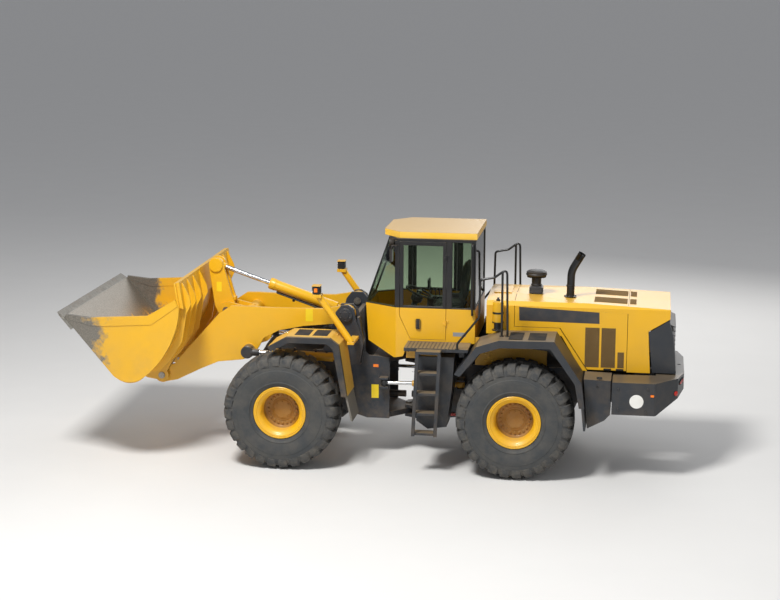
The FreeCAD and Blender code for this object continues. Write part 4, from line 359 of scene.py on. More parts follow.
# %% Plastics, glass and small finishes
def moulded(name, colour, rough=0.5, size=6.0, strength=0.25, dusty=0.10):
    """Injection-moulded plastic with a fine spark-eroded grain."""
    material, tree, shader, place = start_finish(name)
    tree.links.new(blend_colours(tree, spread(tree, grain(tree, place, 180, 4), 0.4, 0.75, 0.0, dusty),
                                 linear(colour), linear(DUST)), shader.inputs["Base Color"])
    shader.inputs["Roughness"].default_value = rough
    shader.inputs["IOR"].default_value = 1.49
    tree.links.new(put(tree, "Bump", [("Height", grain(tree, place, size, 2)), ("Strength", strength),
                                      ("Distance", 0.0006)]).outputs["Normal"], shader.inputs["Normal"])
    return material


ABS_BLACK = moulded("moulded_black_abs", "#1B1C1E")
TRIM_GREY = moulded("moulded_cab_trim_grey", "#4A4D50")
GRIT_TAPE = moulded("anti_slip_grit_tape", "#1F2021", 0.9, 5.0, 0.9)
AMBER = moulded("amber_acrylic_lens", "#F07C12", 0.15, 12.0, 0.6)
RED_LENS = moulded("red_acrylic_lens", "#C01A1A", 0.15, 12.0, 0.6)
PLAIN_WHITE = moulded("plain_white_film", "#E9E7E0", 0.4)
HOOD_BAND = moulded("dark_band_film", "#34363A", 0.3, 10.0, 0.05)


def clear(name, colour, rough, ior, metallic=0.0, transmission=1.0):
    material, tree, shader, place = start_finish(name)
    tree.links.new(spread(tree, grain(tree, place, 260, 4), 0.45, 0.8, rough, rough + 0.12),
                   shader.inputs["Roughness"])
    shader.inputs["Base Color"].default_value = linear(colour)
    shader.inputs["IOR"].default_value = ior
    shader.inputs["Metallic"].default_value = metallic
    shader.inputs["Transmission Weight"].default_value = transmission
    return material


def float_glass(name, tint):
    """Thin tinted pane: clear straight through, mirror-like at a glancing angle."""
    material, tree, shader, place = start_finish(name)
    shader.inputs["Base Color"].default_value = linear("#FFFFFF")
    shader.inputs["Metallic"].default_value = 1.0
    shader.inputs["Roughness"].default_value = 0.03
    through = put(tree, "BsdfTransparent", [("Color", linear(tint))])
    edge_on = put(tree, "Fresnel", [("IOR", 1.18)])
    both = put(tree, "MixShader", [(0, edge_on.outputs[0]), (1, through.outputs[0]), (2, shader.outputs[0])])
    tree.links.new(both.outputs[0], tree.nodes["Material Output"].inputs["Surface"])
    return material


TINTED_GLASS = float_glass("green_tinted_float_glass", "#E2EADF")
LAMP_GLASS = clear("headlamp_polycarbonate", "#EDF1F3", 0.05, 1.58)
MIRROR = clear("silvered_mirror", "#E3E6E8", 0.02, 1.5, metallic=1.0, transmission=0.0)
REFLECTOR = clear("aluminised_reflector", "#E6E8EA", 0.12, 1.5, metallic=1.0, transmission=0.0)

PALE_FLOOR, tree, shader, place = start_finish("pale_studio_floor")
tree.links.new(blend_colours(tree, grain(tree, place, 900, 3), linear("#DCDAD6"), linear("#E0DEDA")),
               shader.inputs["Base Color"])
shader.inputs["Roughness"].default_value = 0.85
floor.data.materials.append(PALE_FLOOR)

# %% [markdown]
# ## Paint the CAD nodes
# Where the CAD's shape is right it stays, and only its material changes. The table says which
# finish each node has; what a later piece replaces needs no entry.

# %% Finishes of the CAD nodes
FINISHES = {
    "rear_axle": AXLE_GREY, "front_axle": AXLE_GREY, "rear_frame": STEEL_BLUE_GREY, "frame_pins": PIN_STEEL,
    "front_frame": STEEL_BLUE_GREY, "front_pins": PIN_STEEL, "boom": YELLOW, "boom_pins": PIN_STEEL,
    "bellcrank": YELLOW, "tilt_link": YELLOW, "bucket": BUCKET_YELLOW, "cutting_edge": EDGE_STEEL,
    "bucket_pins": PIN_STEEL, "hood": YELLOW, "engine_door_left": YELLOW, "engine_door_right": YELLOW,
    "rear_grille": IRON_GREY, "engine_block": CAST_IRON, "gearbox": AXLE_GREY, "front_shaft": AXLE_GREY,
    "counterweight": IRON_GREY, "side_tanks": FRAME_GREY, "side_decks": FRAME_GREY,
    "rear_fenders": FRAME_GREY, "front_fenders": FENDER_PAINT, "front_flaps": FLAP_RUBBER,
    "cab_frame": CAB_PAINT, "cab_roof": PALE_YELLOW, "cab_glass": TINTED_GLASS, "door_left": CAB_PAINT,
    "door_right": CAB_PAINT, "door_glass_left": TINTED_GLASS, "door_glass_right": TINTED_GLASS,
    "lamp_posts": YELLOW, "lock_bar": LOCK_RED, "cab_fittings": TRIM_GREY,
    "tilt_barrel": YELLOW, "lift_barrels": YELLOW, "steer_barrel_left": YELLOW_SHADED_DUSTY,
    "steer_barrel_right": YELLOW_SHADED_DUSTY, "tilt_rod": CHROME, "lift_rods": CHROME, "steer_rod_left": CHROME,
    "steer_rod_right": CHROME, "exhaust": CAB_BLACK, "air_cleaner": ABS_BLACK, "hand_rails": FRAME_GREY,
    "mirrors": ABS_BLACK, "headlamps": ABS_BLACK, "seat_pads": TRIM_GREY}
for node_name, finish_material in FINISHES.items():
    node_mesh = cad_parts[node_name].data
    node_mesh.materials.clear()
    node_mesh.materials.append(finish_material)
print("painted", len(FINISHES), "nodes of", len(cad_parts))

# %% [markdown]
# ## Mesh tools
# Most of the detail is turned, swept or bolted. Three small builders draw those forms into one
# mesh: a lathe, a sweep along a path whose corners are rounded as a pipe bender leaves them,
# and a block with broken edges. A finished mesh is shaded smooth and sharp at its real edges.

# %% Mesh builders
def facing(place, direction, roll=0.0):
    """A matrix whose Z points along direction at place."""
    turn = Vector(direction).normalized().to_track_quat("Z", "Y").to_matrix().to_4x4()
    return Matrix.Translation(place) @ turn @ Matrix.Rotation(roll, 4, "Z")


def lathe(form, profile, matrix, steps=48):
    """Turns (radius, height) points about the matrix's Z. Ends with a radius get a cap."""
    rings = []
    for radius, height in profile:
        rings.append([form.verts.new(matrix @ Vector((
            radius * math.cos(math.tau * k / steps), radius * math.sin(math.tau * k / steps), height)))
            for k in range(steps)])
    for lower, upper in zip(rings, rings[1:]):
        for k in range(steps):
            form.faces.new((lower[k], lower[(k + 1) % steps], upper[(k + 1) % steps], upper[k]))
    form.faces.new(rings[0][::-1])
    form.faces.new(rings[-1])


def block(form, matrix, size, edge=0.004, segments=2):
    """A box of that size, centred on the matrix, with broken edges."""
    made = bmesh.ops.create_cube(form, size=1.0, matrix=matrix @ Matrix.Diagonal((*size, 1)))
    edges = list({e for v in made["verts"] for e in v.link_edges})
    bmesh.ops.bevel(form, geom=edges, offset=edge, segments=segments, affect="EDGES", clamp_overlap=True)


def span(form, start, end, edge=0.004):
    """A block between two opposite corners."""
    start, end = Vector(start), Vector(end)
    size = [abs(a - b) for a, b in zip(start, end)]
    block(form, Matrix.Translation((start + end) / 2), size, min(edge, min(size) * 0.4))


def rounded(points, bend, parts=6):
    """The path with each corner replaced by an arc of that radius."""
    points = [Vector(p) for p in points]
    path = [points[0]]
    for before, corner, after in zip(points, points[1:], points[2:]):
        back, ahead = (before - corner), (after - corner)
        half = back.angle(ahead) / 2
        cut = min(bend / math.tan(half), back.length * 0.49, ahead.length * 0.49)
        start, end = corner + back.normalized() * cut, corner + ahead.normalized() * cut
        for k in range(parts + 1):
            t = k / parts
            path.append(start.lerp(corner, t).lerp(corner.lerp(end, t), t))
    return path + [points[-1]]


def sweep(form, path, radius, steps=12):
    """A round bar or hose along a path."""
    path = [Vector(p) for p in path]
    across = None
    rings = []
    for k, spot in enumerate(path):
        ahead = (path[min(k + 1, len(path) - 1)] - path[max(k - 1, 0)]).normalized()
        if across is None:
            across = ahead.orthogonal().normalized()
        across = (across - ahead * across.dot(ahead)).normalized()
        other = ahead.cross(across)
        rings.append([form.verts.new(spot + (across * math.cos(math.tau * j / steps)
                                             + other * math.sin(math.tau * j / steps)) * radius)
                      for j in range(steps)])
    for lower, upper in zip(rings, rings[1:]):
        for j in range(steps):
            form.faces.new((lower[j], lower[(j + 1) % steps], upper[(j + 1) % steps], upper[j]))
    form.faces.new(rings[0][::-1])
    form.faces.new(rings[-1])


def plate(form, outline, start, thick, along):
    """A flat outline, pushed by thick along a direction from start."""
    push = Vector(along) * thick
    lower = [form.verts.new(Vector(p) + Vector(along) * start) for p in outline]
    upper = [form.verts.new(v.co + push) for v in lower]
    count = len(outline)
    for k in range(count):
        form.faces.new((lower[k], lower[(k + 1) % count], upper[(k + 1) % count], upper[k]))
    form.faces.new(lower[::-1])
    form.faces.new(upper)


def bolts(form, places, direction, size=0.024):
    """Hexagon heads on washers, standing on their seats."""
    for place in places:
        seat = facing(place, direction)
        lathe(form, [(size * 0.72, 0.0), (size * 0.72, size * 0.12)], seat, 16)
        lathe(form, [(size * 0.56, size * 0.1), (size * 0.56, size * 0.55), (size * 0.48, size * 0.62)], seat, 6)


def piece(name, form, finish_material, body, slot_name, *replaced, sharp=35):
    """Turns a form into a piece that rides a body and has the finish it is given; slot_name is not used."""
    bmesh.ops.recalc_face_normals(form, faces=form.faces)
    mesh = bpy.data.meshes.new(name)
    form.to_mesh(mesh)
    form.free()
    mesh.shade_smooth()
    mesh.set_sharp_from_angle(angle=math.radians(sharp))
    mesh.materials.append(finish_material)
    item = link(bpy.data.objects.new(name, mesh))
    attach(item, body)
    if replaced:
        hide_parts(*replaced)
    return item


def skins(*nodes):
    """Search trees over the meshes of some nodes, in the frame's own places."""
    trees = []
    for node in nodes:
        form = bmesh.new()
        form.from_mesh(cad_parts[node].data)
        form.transform(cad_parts[node].matrix_world)
        trees.append(BVHTree.FromBMesh(form))
        form.free()
    return trees


def outer_skin(trees, x, z):
    """How far out in metres the left side of the trees lies at that x and z in mm."""
    start = at(x, 4000, z)
    hits = [tree.ray_cast(start, Vector((0, -1, 0))) for tree in trees]
    return max((hit[0].y for hit in hits if hit[0] is not None), default=None)


def mirror_form(form):
    """Adds the right-hand twin of everything drawn so far on the left."""
    twin = bmesh.ops.duplicate(form, geom=form.verts[:] + form.edges[:] + form.faces[:])
    new_verts = [g for g in twin["geom"] if isinstance(g, bmesh.types.BMVert)]
    for vert in new_verts:
        vert.co.y = -vert.co.y


# %% [markdown]
# ## Tyres
# An earthmover radial has a round-shouldered carcass with a rim protector, and deep lugs that
# run from the shoulders to the middle, left and right staggered by half a pitch. The carcass
# is one lathe; each lug is a short loft of six-sided sections along its own line, so the
# tread follows the crown and rolls over the shoulder onto the sidewall.

# %% Tyre form
LUGS = 28
LUG_DEPTH = 0.045
TYRE_HALF = 0.3375
CARCASS = ((0.319, 0.224), (0.327, 0.254), (0.395, 0.276), (0.402, 0.292), (0.425, 0.299), (0.446, 0.312),
           (0.452, 0.322), (0.462, 0.322), (0.470, 0.318), (0.520, 0.329), (0.575, 0.336), (0.612, 0.3372),
           (0.640, 0.336), (0.648, 0.331), (0.700, 0.329), (0.752, 0.322), (0.786, 0.306), (0.808, 0.276),
           (0.817, 0.200), (0.820, 0.100))
LUG_LINE = ((-0.050, 0.8630, 0.000), (0.030, 0.8640, 0.010), (0.110, 0.8620, 0.030), (0.190, 0.8580, 0.046),
            (0.258, 0.8470, 0.054), (0.302, 0.8250, 0.057), (0.326, 0.7950, 0.058), (0.3345, 0.7520, 0.058),
            (0.3350, 0.7150, 0.057))


def lug(form, matrix, turn, hand):
    """One lug: (across, outer radius, lag round the tyre) sections, wider at the shoulder."""
    sections = []
    for k, (across, outer, lag) in enumerate(LUG_LINE):
        wide = 0.050 + 0.020 * min(k, 5) / 5
        foot = outer - LUG_DEPTH - 0.006 if k < 5 else max(outer - LUG_DEPTH * (1 - (k - 4) / 5), 0.68)
        inset = 0.008 if k < 6 else 0.014
        shape = ((-wide - 0.010, foot), (-wide, outer - 0.010), (-wide + inset, outer),
                 (wide - inset, outer), (wide, outer - 0.010), (wide + 0.010, foot))
        drop = 0.0 if k < 6 else 0.012 * (k - 5)
        ring = []
        for along, radius in shape:
            angle = turn + (along + lag) / 0.865
            side_place = across * hand - (drop * hand if radius == foot else 0.0)
            ring.append(form.verts.new(matrix @ Vector((
                radius * math.sin(angle), side_place, radius * math.cos(angle)))))
        sections.append(ring)
    for lower, upper in zip(sections, sections[1:]):
        for j in range(5):
            form.faces.new((lower[j], lower[j + 1], upper[j + 1], upper[j]))
    form.faces.new(sections[0][::-1])
    form.faces.new(sections[-1])


WHEELS = [(end + "_" + hand, along, sign) for end, along in (("front", WHEELBASE), ("rear", 0.0))
          for hand, sign in LEFT_RIGHT]
for wheel, along, sign in WHEELS:
    axle_end = Matrix.Translation((REAR_AXLE + along, WHEEL_SIDE * sign, TYRE_RADIUS))
    tyre_form = bmesh.new()
    wall = [(radius, across) for radius, across in CARCASS]
    wall += [(radius, -across) for radius, across in reversed(CARCASS)]
    lathe(tyre_form, wall, axle_end @ Matrix.Rotation(-math.pi / 2, 4, "X"), 96)
    caps = [face for face in tyre_form.faces if len(face.verts) > 4]
    bmesh.ops.delete(tyre_form, geom=caps, context="FACES_ONLY")
    bead = list(tyre_form.verts)[:96], list(tyre_form.verts)[-96:]
    for k in range(96):
        tyre_form.faces.new((bead[0][k], bead[1][k], bead[1][(k + 1) % 96], bead[0][(k + 1) % 96]))
    for number in range(LUGS):
        lug(tyre_form, axle_end, math.tau * number / LUGS, 1)
        lug(tyre_form, axle_end, math.tau * (number + 0.5) / LUGS, -1)
    tyre_item = piece("tread_" + wheel, tyre_form, WALL_RUBBER, "wheel_" + wheel, "tyre", "tyre_" + wheel,
                      sharp=28)
    tyre_item.data.materials.append(TREAD_RUBBER)
    middle = axle_end.translation
    for polygon in tyre_item.data.polygons:
        offset = polygon.center - middle
        if math.hypot(offset.x, offset.z) > 0.70:
            polygon.material_index = 1
print("tyre triangles", sum(len(p.vertices) - 2 for p in tyre_item.data.polygons))

# %% [markdown]
# ## Wheel discs
# The rim is a rolled band with a loose lock ring; the deep disc is welded inside it and bolted
# to the hub. A turned profile with rounded corners, a circle of wheel nuts, the planetary hub
# cover with its own small bolts, the lock ring's slit line and the valve give it scale.

# %% Wheel discs
DISC = ((0.300, -0.300), (0.3225, -0.299), (0.392, -0.298), (0.3915, -0.278), (0.330, -0.256),
        (0.3172, -0.226), (0.3172, 0.224), (0.330, 0.256), (0.3885, 0.274), (0.3925, 0.284), (0.3925, 0.294),
        (0.386, 0.2995), (0.372, 0.299), (0.367, 0.293), (0.362, 0.2965), (0.350, 0.2955), (0.342, 0.284),
        (0.331, 0.276), (0.318, 0.268), (0.302, 0.252), (0.289, 0.236), (0.282, 0.220), (0.274, 0.120),
        (0.268, 0.092), (0.258, 0.075), (0.246, 0.067), (0.176, 0.0655), (0.170, 0.067), (0.168, 0.071),
        (0.150, 0.072), (0.146, 0.077), (0.138, 0.080), (0.110, 0.083), (0.060, 0.084), (0.030, 0.0845))
WHEEL_NUTS = 20
RECESS_RADIUS = 0.272
DISC_FACE = 0.066
NUT_CIRCLE = 0.212
for wheel, along, sign in WHEELS:
    axle_end = Matrix.Translation((REAR_AXLE + along, WHEEL_SIDE * sign, TYRE_RADIUS))
    outward = axle_end @ Matrix.Rotation(-math.pi / 2 * sign, 4, "X")
    disc_form = bmesh.new()
    lathe(disc_form, DISC, outward, 96)
    for count, circle, level, size in ((WHEEL_NUTS, NUT_CIRCLE, DISC_FACE, 0.030), (8, 0.118, 0.082, 0.016)):
        spots = [outward @ Vector((circle * math.cos(math.tau * k / count),
                                   circle * math.sin(math.tau * k / count), level)) for k in range(count)]
        bolts(disc_form, spots, (0, sign, 0), size)
    sweep(disc_form, rounded([outward @ Vector(p) for p in (
        (0.296, 0.0, 0.205), (0.286, 0.0, 0.245), (0.300, 0.0, 0.285))], 0.02), 0.006, 8)
    disc_item = piece("wheel_disc_" + wheel, disc_form, YELLOW, "wheel_" + wheel, "yellow_paint", "rim_" + wheel)
    # Faces inside RECESS_RADIUS take the darker enamel: painted shade in the recess.
    disc_item.data.materials.append(WHEEL_RECESS_SHADE)
    for polygon in disc_item.data.polygons:
        offset = polygon.center - axle_end.translation
        if math.hypot(offset.x, offset.z) < RECESS_RADIUS:
            polygon.material_index = 1
print("wheel nuts on a disc", WHEEL_NUTS)

# %% [markdown]
# ## Hydraulic cylinders
# A cylinder is a honed tube with a welded foot, a screwed gland that holds the seals, and a
# chromed rod with a forged eye. The CAD has the same lengths, drawn coarse; here each is
# turned fine, with the gland's groove and bolts, and with the oil ports and their steel pipe.

# %% Cylinder forms
def cylinder_barrel(form, foot, along, hinge, length, bore, eye, half_eye, neck=0.044):
    """Foot eye, neck, tube and bolted gland, from the pin at foot along the cylinder."""
    along, hinge = Vector(along).normalized(), Vector(hinge)
    base = facing(foot, along)
    lathe(form, [(bore * 0.60, eye * 0.9), (bore * 0.60, eye + neck), (bore * 0.92, eye + neck + 0.002),
                 (bore, eye + neck + 0.012), (bore, length - 0.115),
                 (bore * 1.035, length - 0.113), (bore * 1.035, length - 0.092), (bore * 1.10, length - 0.090),
                 (bore * 1.10, length - 0.012), (bore * 1.02, length), (bore * 0.62, length)], base, 40)
    lathe(form, [(eye * 0.93, -half_eye), (eye, -half_eye + 0.006), (eye, half_eye - 0.006),
                 (eye * 0.93, half_eye)], facing(foot, hinge), 40)
    spots = [base @ Vector((bore * 0.86 * math.cos(math.tau * k / 8), bore * 0.86 * math.sin(math.tau * k / 8),
                            length)) for k in range(8)]
    bolts(form, spots, along, bore * 0.19)


def piston(form, eye_form, foot, along, hinge, reach, visible, thick, eye, half_eye, neck):
    """Chromed bar and its painted eye. visible is how far it is drawn back from the eye."""
    along = Vector(along).normalized()
    base = facing(foot, along)
    lathe(form, [(thick, reach - visible), (thick, reach - eye * 0.9)], base, 40)
    lathe(eye_form, [(thick + 0.006, reach - eye - neck), (thick + 0.016, reach - eye - neck * 0.7),
                     (thick + 0.020, reach - eye * 0.6)], base, 40)
    eye_place = Vector(foot) + along * reach
    lathe(eye_form, [(eye * 0.92, -half_eye), (eye, -half_eye + 0.006), (eye, half_eye - 0.006),
                 (eye * 0.92, half_eye)], facing(eye_place, hinge), 40)


def leaning(lean):
    return Vector((math.cos(math.radians(lean)), 0, math.sin(math.radians(lean))))


CYLINDER_AXIS = (0, 1, 0)
TILT_FOOT, TILT_LEAN, TILT_REACH = at(2720, 0, 2135), 18.486, 2.0990
LIFT_LEAN, LIFT_REACH = 1.4212, 1.4514
tilt_form, tilt_rod_form, tilt_eye_form = (bmesh.new() for _ in range(3))
cylinder_barrel(tilt_form, TILT_FOOT, leaning(TILT_LEAN), CYLINDER_AXIS, 1.230, 0.082, 0.090, 0.05)

piston(tilt_rod_form, tilt_eye_form, TILT_FOOT, leaning(TILT_LEAN), CYLINDER_AXIS, TILT_REACH, 1.25, 0.036, 0.095, 0.05, 0.044)
piece("tilt_cylinder_barrel", tilt_form, YELLOW, "tilt_cylinder", "yellow_paint", "tilt_barrel")
piece("tilt_cylinder_rod", tilt_rod_form, CHROME, "tilt_piston", "chrome", "tilt_rod")
piece("tilt_cylinder_eye", tilt_eye_form, YELLOW, "tilt_piston", "yellow_paint")

lift_form, lift_rod_form, lift_eye_form = (bmesh.new() for _ in range(3))
for across in (716, -716):
    foot = at(2640, across, 1560)
    cylinder_barrel(lift_form, foot, leaning(LIFT_LEAN), CYLINDER_AXIS, 1.060, 0.068, 0.085, 0.036)
    piston(lift_rod_form, lift_eye_form, foot, leaning(LIFT_LEAN), CYLINDER_AXIS, LIFT_REACH, 1.10, 0.038, 0.095, 0.05, 0.090)
piece("lift_cylinder_barrels", lift_form, YELLOW, "lift_cylinders", "yellow_paint", "lift_barrels")
piece("lift_cylinder_rods", lift_rod_form, CHROME, "lift_pistons", "chrome", "lift_rods")
piece("lift_cylinder_eyes", lift_eye_form, FRAME_GREY, "lift_pistons", "yellow_paint")

STEER_LEAN, STEER_REACH = math.radians(2.9866), 1.15156
for hand, sign in LEFT_RIGHT:
    steer_form, steer_rod_form, steer_eye_form = (bmesh.new() for _ in range(3))
    foot = at(875, 500 * sign, 1165)
    along = Vector((math.cos(STEER_LEAN), math.sin(STEER_LEAN) * sign, 0))
    cylinder_barrel(steer_form, foot, along, (0, 0, 1), 0.728, 0.042, 0.060, 0.040, 0.012)
    piston(steer_rod_form, steer_eye_form, foot, along, (0, 0, 1), STEER_REACH, 0.709, 0.028, 0.050, 0.040, 0.004)
    # The barrels take the darker yellow: painted shade under the frame, with dust.
    piece("steering_barrel_" + hand, steer_form, YELLOW_SHADED_DUSTY, "steer_cylinder_" + hand, "yellow_paint",
          "steer_barrel_" + hand)
    piece("steering_rod_" + hand, steer_rod_form, CHROME, "steer_piston_" + hand, "chrome",
          "steer_rod_" + hand)
    piece("steering_eye_" + hand, steer_eye_form, AXLE_GREY, "steer_piston_" + hand, "grey_paint")
print("cylinders turned")

# %% [markdown]
# ## Exhaust and air pre-cleaner
# The stack is a bent steel tube in heat-resistant black, cut square at its end and clamped at
# the hood. The pre-cleaner is a moulded mushroom: inlet vanes under a broad cap, then a bowl.

# %% Exhaust and pre-cleaner
stack_box, cleaner_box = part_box("exhaust"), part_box("air_cleaner")
stack_foot = stack_box[0].z
STACK_RADIUS, STACK_WALL = 0.058, 0.006
stack_form = bmesh.new()
stack_path = rounded([at(-716, 250, stack_foot * 1000 + 6), at(-724, 250, 2900), at(-880, 250, 3170)], 0.34, 14)
sweep(stack_form, stack_path, STACK_RADIUS, 32)
end_cap = max((f for f in stack_form.faces if len(f.verts) == 32), key=lambda f: f.calc_center_median().z)
ring_in = bmesh.ops.inset_region(stack_form, faces=[end_cap], thickness=STACK_WALL)
deep = bmesh.ops.extrude_discrete_faces(stack_form, faces=[end_cap])["faces"][0]
bmesh.ops.translate(stack_form, verts=deep.verts, vec=(stack_path[-3] - stack_path[-1]).normalized() * 0.12)
clamp = facing(at(-716, 250, stack_foot * 1000 + 10), (0, 0, 1))
lathe(stack_form, [(0.092, 0.0), (0.092, 0.010), (0.066, 0.016), (0.064, 0.032)], clamp, 40)
lathe(stack_form, [(0.0600, 0.150), (0.0635, 0.152), (0.0635, 0.176), (0.0600, 0.178)], clamp, 40)
bolts(stack_form, [clamp @ Vector((0.078 * math.cos(a), 0.078 * math.sin(a), 0.011))
                   for a in [math.tau * k / 6 for k in range(6)]], (0, 0, 1), 0.016)
piece("exhaust_stack", stack_form, CAB_BLACK, "chassis", "black_paint", "exhaust")

cleaner_form = bmesh.new()
cleaner_middle = at(-204, 150, cleaner_box[0].z * 1000 + 2)
CLEANER = ((0.080, 0.100), (0.080, 0.140), (0.070, 0.150), (0.072, 0.238),
           (0.084, 0.250), (0.104, 0.262), (0.146, 0.272), (0.156, 0.284), (0.157, 0.300), (0.148, 0.312),
           (0.150, 0.316), (0.150, 0.330), (0.120, 0.348), (0.072, 0.357), (0.020, 0.360))
lathe(cleaner_form, CLEANER, facing(cleaner_middle, (0, 0, 1)), 56)
for k in range(28):
    vane = facing(cleaner_middle + Vector((0, 0, 0.255)), (0, 0, 1), math.tau * k / 28)
    block(cleaner_form, vane @ Matrix.Translation((0.112, 0, 0.004)), (0.060, 0.003, 0.024), 0.001, 1)
piece("air_precleaner", cleaner_form, ABS_BLACK, "chassis", "black_paint", "air_cleaner")
cleaner_foot = bmesh.new()
block(cleaner_foot, Matrix.Translation(cleaner_middle + Vector((0, 0, 0.060))), (0.196, 0.196, 0.118), 0.014)
for k in range(5):
    block(cleaner_foot, Matrix.Translation(cleaner_middle + Vector((0, 0, 0.020 + 0.020 * k))),
          (0.204, 0.204, 0.007), 0.003)
piece("precleaner_foot", cleaner_foot, STEEL_BLUE_GREY, "chassis", "grey_paint")

# %% [markdown]
# ## Hand rails, grab bars and mirrors
# Rails are 34 mm steel tube, bent and painted dark, and each foot is welded to a small bolted
# flange. Mirrors are glass in a ribbed moulded shell on a thin bent arm.

# %% Rails, bars and mirrors
PIPE = 0.017
rail_form = bmesh.new()
RAIL_SIDE = 1205
sweep(rail_form, rounded([at(x, RAIL_SIDE, z) for x, z in (
    (860, 1871), (860, 1950), (545, 2350), (535, 2905), (330, 2945), (150, 3080), (130, 2086.8))], 0.05, 5), PIPE)
sweep(rail_form, [at(215, RAIL_SIDE, 2085.8), at(215, RAIL_SIDE, 3031)], PIPE)
grab_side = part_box("cab_frame")[1].y * 1000
sweep(rail_form, rounded([at(690, y, z) for y, z in (
    (740.5, 3330), (795, 3330), (795, 2290), (740.5, 2290))], 0.03, 5), PIPE)
for foot in (at(860, RAIL_SIDE, 1871), at(130, RAIL_SIDE, 2088), at(215, RAIL_SIDE, 2087)):
    lathe(rail_form, [(0.034, 0.0), (0.034, 0.008)], facing(foot, (0, 0, 1)), 20)
mirror_form(rail_form)
piece("hand_rail_tubes", rail_form, CAB_BLACK, "chassis", "grey_paint", "hand_rails")

shell_form, glass_form = bmesh.new(), bmesh.new()
sweep(shell_form, rounded([at(x, y, z) for x, y, z in (
    (1805, 741, 3300), (1805, 780, 3300), (1885, 810, 3300), (1885, 810, 3235))], 0.02, 4), 0.010, 10)
span(shell_form, at(1868, 746, 3062), at(1905, 889, 3268), 0.014)
for k in range(5):
    span(shell_form, at(1903, 775 + 20 * k, 3080), at(1909, 781 + 20 * k, 3250), 0.002)
span(glass_form, at(1865, 756, 3072), at(1869, 879, 3258), 0.001)
mirror_form(shell_form)
mirror_form(glass_form)
piece("mirror_shells", shell_form, ABS_BLACK, "chassis", "plastic", "mirrors")
piece("mirror_glasses", glass_form, MIRROR, "chassis", "glass")
print("rails and mirrors made")

# %% [markdown]
# ## Headlamps and turn signals
# Each lamp is a moulded box on the slanted post with a deep aluminised bowl behind a clear
# lens, a pale cap on top and a round amber signal on the outer side.

# %% Lamps
lamp_low, lamp_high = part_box("headlamps")
lamp_shells, lamp_bowls, lamp_lenses, lamp_ambers = (bmesh.new() for _ in range(4))
LAMP_FRONT, LAMP_BACK = 3020, 2900
span(lamp_shells, at(LAMP_BACK, 980, 2590.5), at(LAMP_FRONT - 6, 1120, 2712), 0.012)
lamp_eye = facing(at(LAMP_FRONT - 26, 1050, 2655), (1, 0, 0))
lathe(lamp_bowls, [(0.020, 0.002), (0.040, 0.010), (0.056, 0.021), (0.060, 0.021), (0.060, 0.019)], lamp_eye, 40)
lathe(lamp_lenses, [(0.061, 0.020), (0.061, 0.026), (0.052, 0.029), (0.020, 0.032)], lamp_eye, 40)
span(lamp_ambers, at(2935, 1124, 2625), at(2985, 1136, 2685), 0.004)
lamp_caps = bmesh.new()
span(lamp_caps, at(LAMP_BACK - 10, 970, 2712), at(LAMP_FRONT + 6, 1130, 2719.5), 0.003)
span(lamp_caps, at(LAMP_BACK + 20, 980, 2578), at(LAMP_FRONT - 20, 1120, 2590), 0.004)
for lamp_part in (lamp_shells, lamp_bowls, lamp_lenses, lamp_ambers, lamp_caps):
    mirror_form(lamp_part)
piece("lamp_shells", lamp_shells, ABS_BLACK, "front_section", "plastic", "headlamps")
piece("lamp_caps", lamp_caps, YELLOW, "front_section", "yellow_paint")
piece("lamp_bowls", lamp_bowls, REFLECTOR, "front_section", "chrome")
piece("lamp_lenses", lamp_lenses, LAMP_GLASS, "front_section", "glass")
piece("lamp_ambers", lamp_ambers, AMBER, "front_section", "plastic")

print("lamps made")

# %% [markdown]
# ## Hood
# The engine doors carry a plain dark band of film and pressed mesh over their vents. The mesh
# is real wire: bars of 3 mm, 14 mm apart, over a dark brown sheet that is painted shade of the
# space behind, with dust. The top has a hatch, two mesh vents and the seams where the panels meet.

# %% Hood films, mesh and latches
SKIN = 0.7004
hood_skin = skins("hood", "engine_door_left", "engine_door_right")
DOOR_VENTS = ((-1173, -968, 1560, 2150), (-1408, -1205, 1560, 2150), (-1536, -1445, 1560, 1795))
VENT_MESH = moulded("dusty_pressed_vent_mesh", "#8A6A34", 0.75, 8.0, 0.4)
# Dark brown sheet laid in the vent openings under the mesh: painted shade of the space behind the vents, with dust.
VENT_SHADE_SHEET = moulded("vent_backing_dusty_painted_shade", "#4E3D24", 0.9, 10.0, 0.6)


def mesh_panel(form, corner, along, up, width, height, pitch=0.014, wire=0.003):
    """Crossed flat bars in a rectangle that starts at corner."""
    along, up = Vector(along), Vector(up)
    out = along.cross(up).normalized()
    for across, run, length, breadth in ((along, up, height, width), (up, along, width, height)):
        count = max(2, round(breadth / pitch))
        for k in range(count + 1):
            foot = Vector(corner) + across * (breadth * k / count)
            outline = [foot - across * wire / 2, foot + across * wire / 2,
                       foot + across * wire / 2 + run * length, foot - across * wire / 2 + run * length]
            plate(form, outline, 0.0, wire * 0.6, out)


def hood_top(x, y, above=1.0):
    """The place on top of the hood at x and y in mm, raised by above in mm."""
    start = at(x, y, 4000)
    hits = [tree.ray_cast(start, Vector((0, 0, -1))) for tree in hood_skin]
    return Vector((start.x, start.y, max(hit[0].z for hit in hits if hit[0] is not None) + above / 1000))


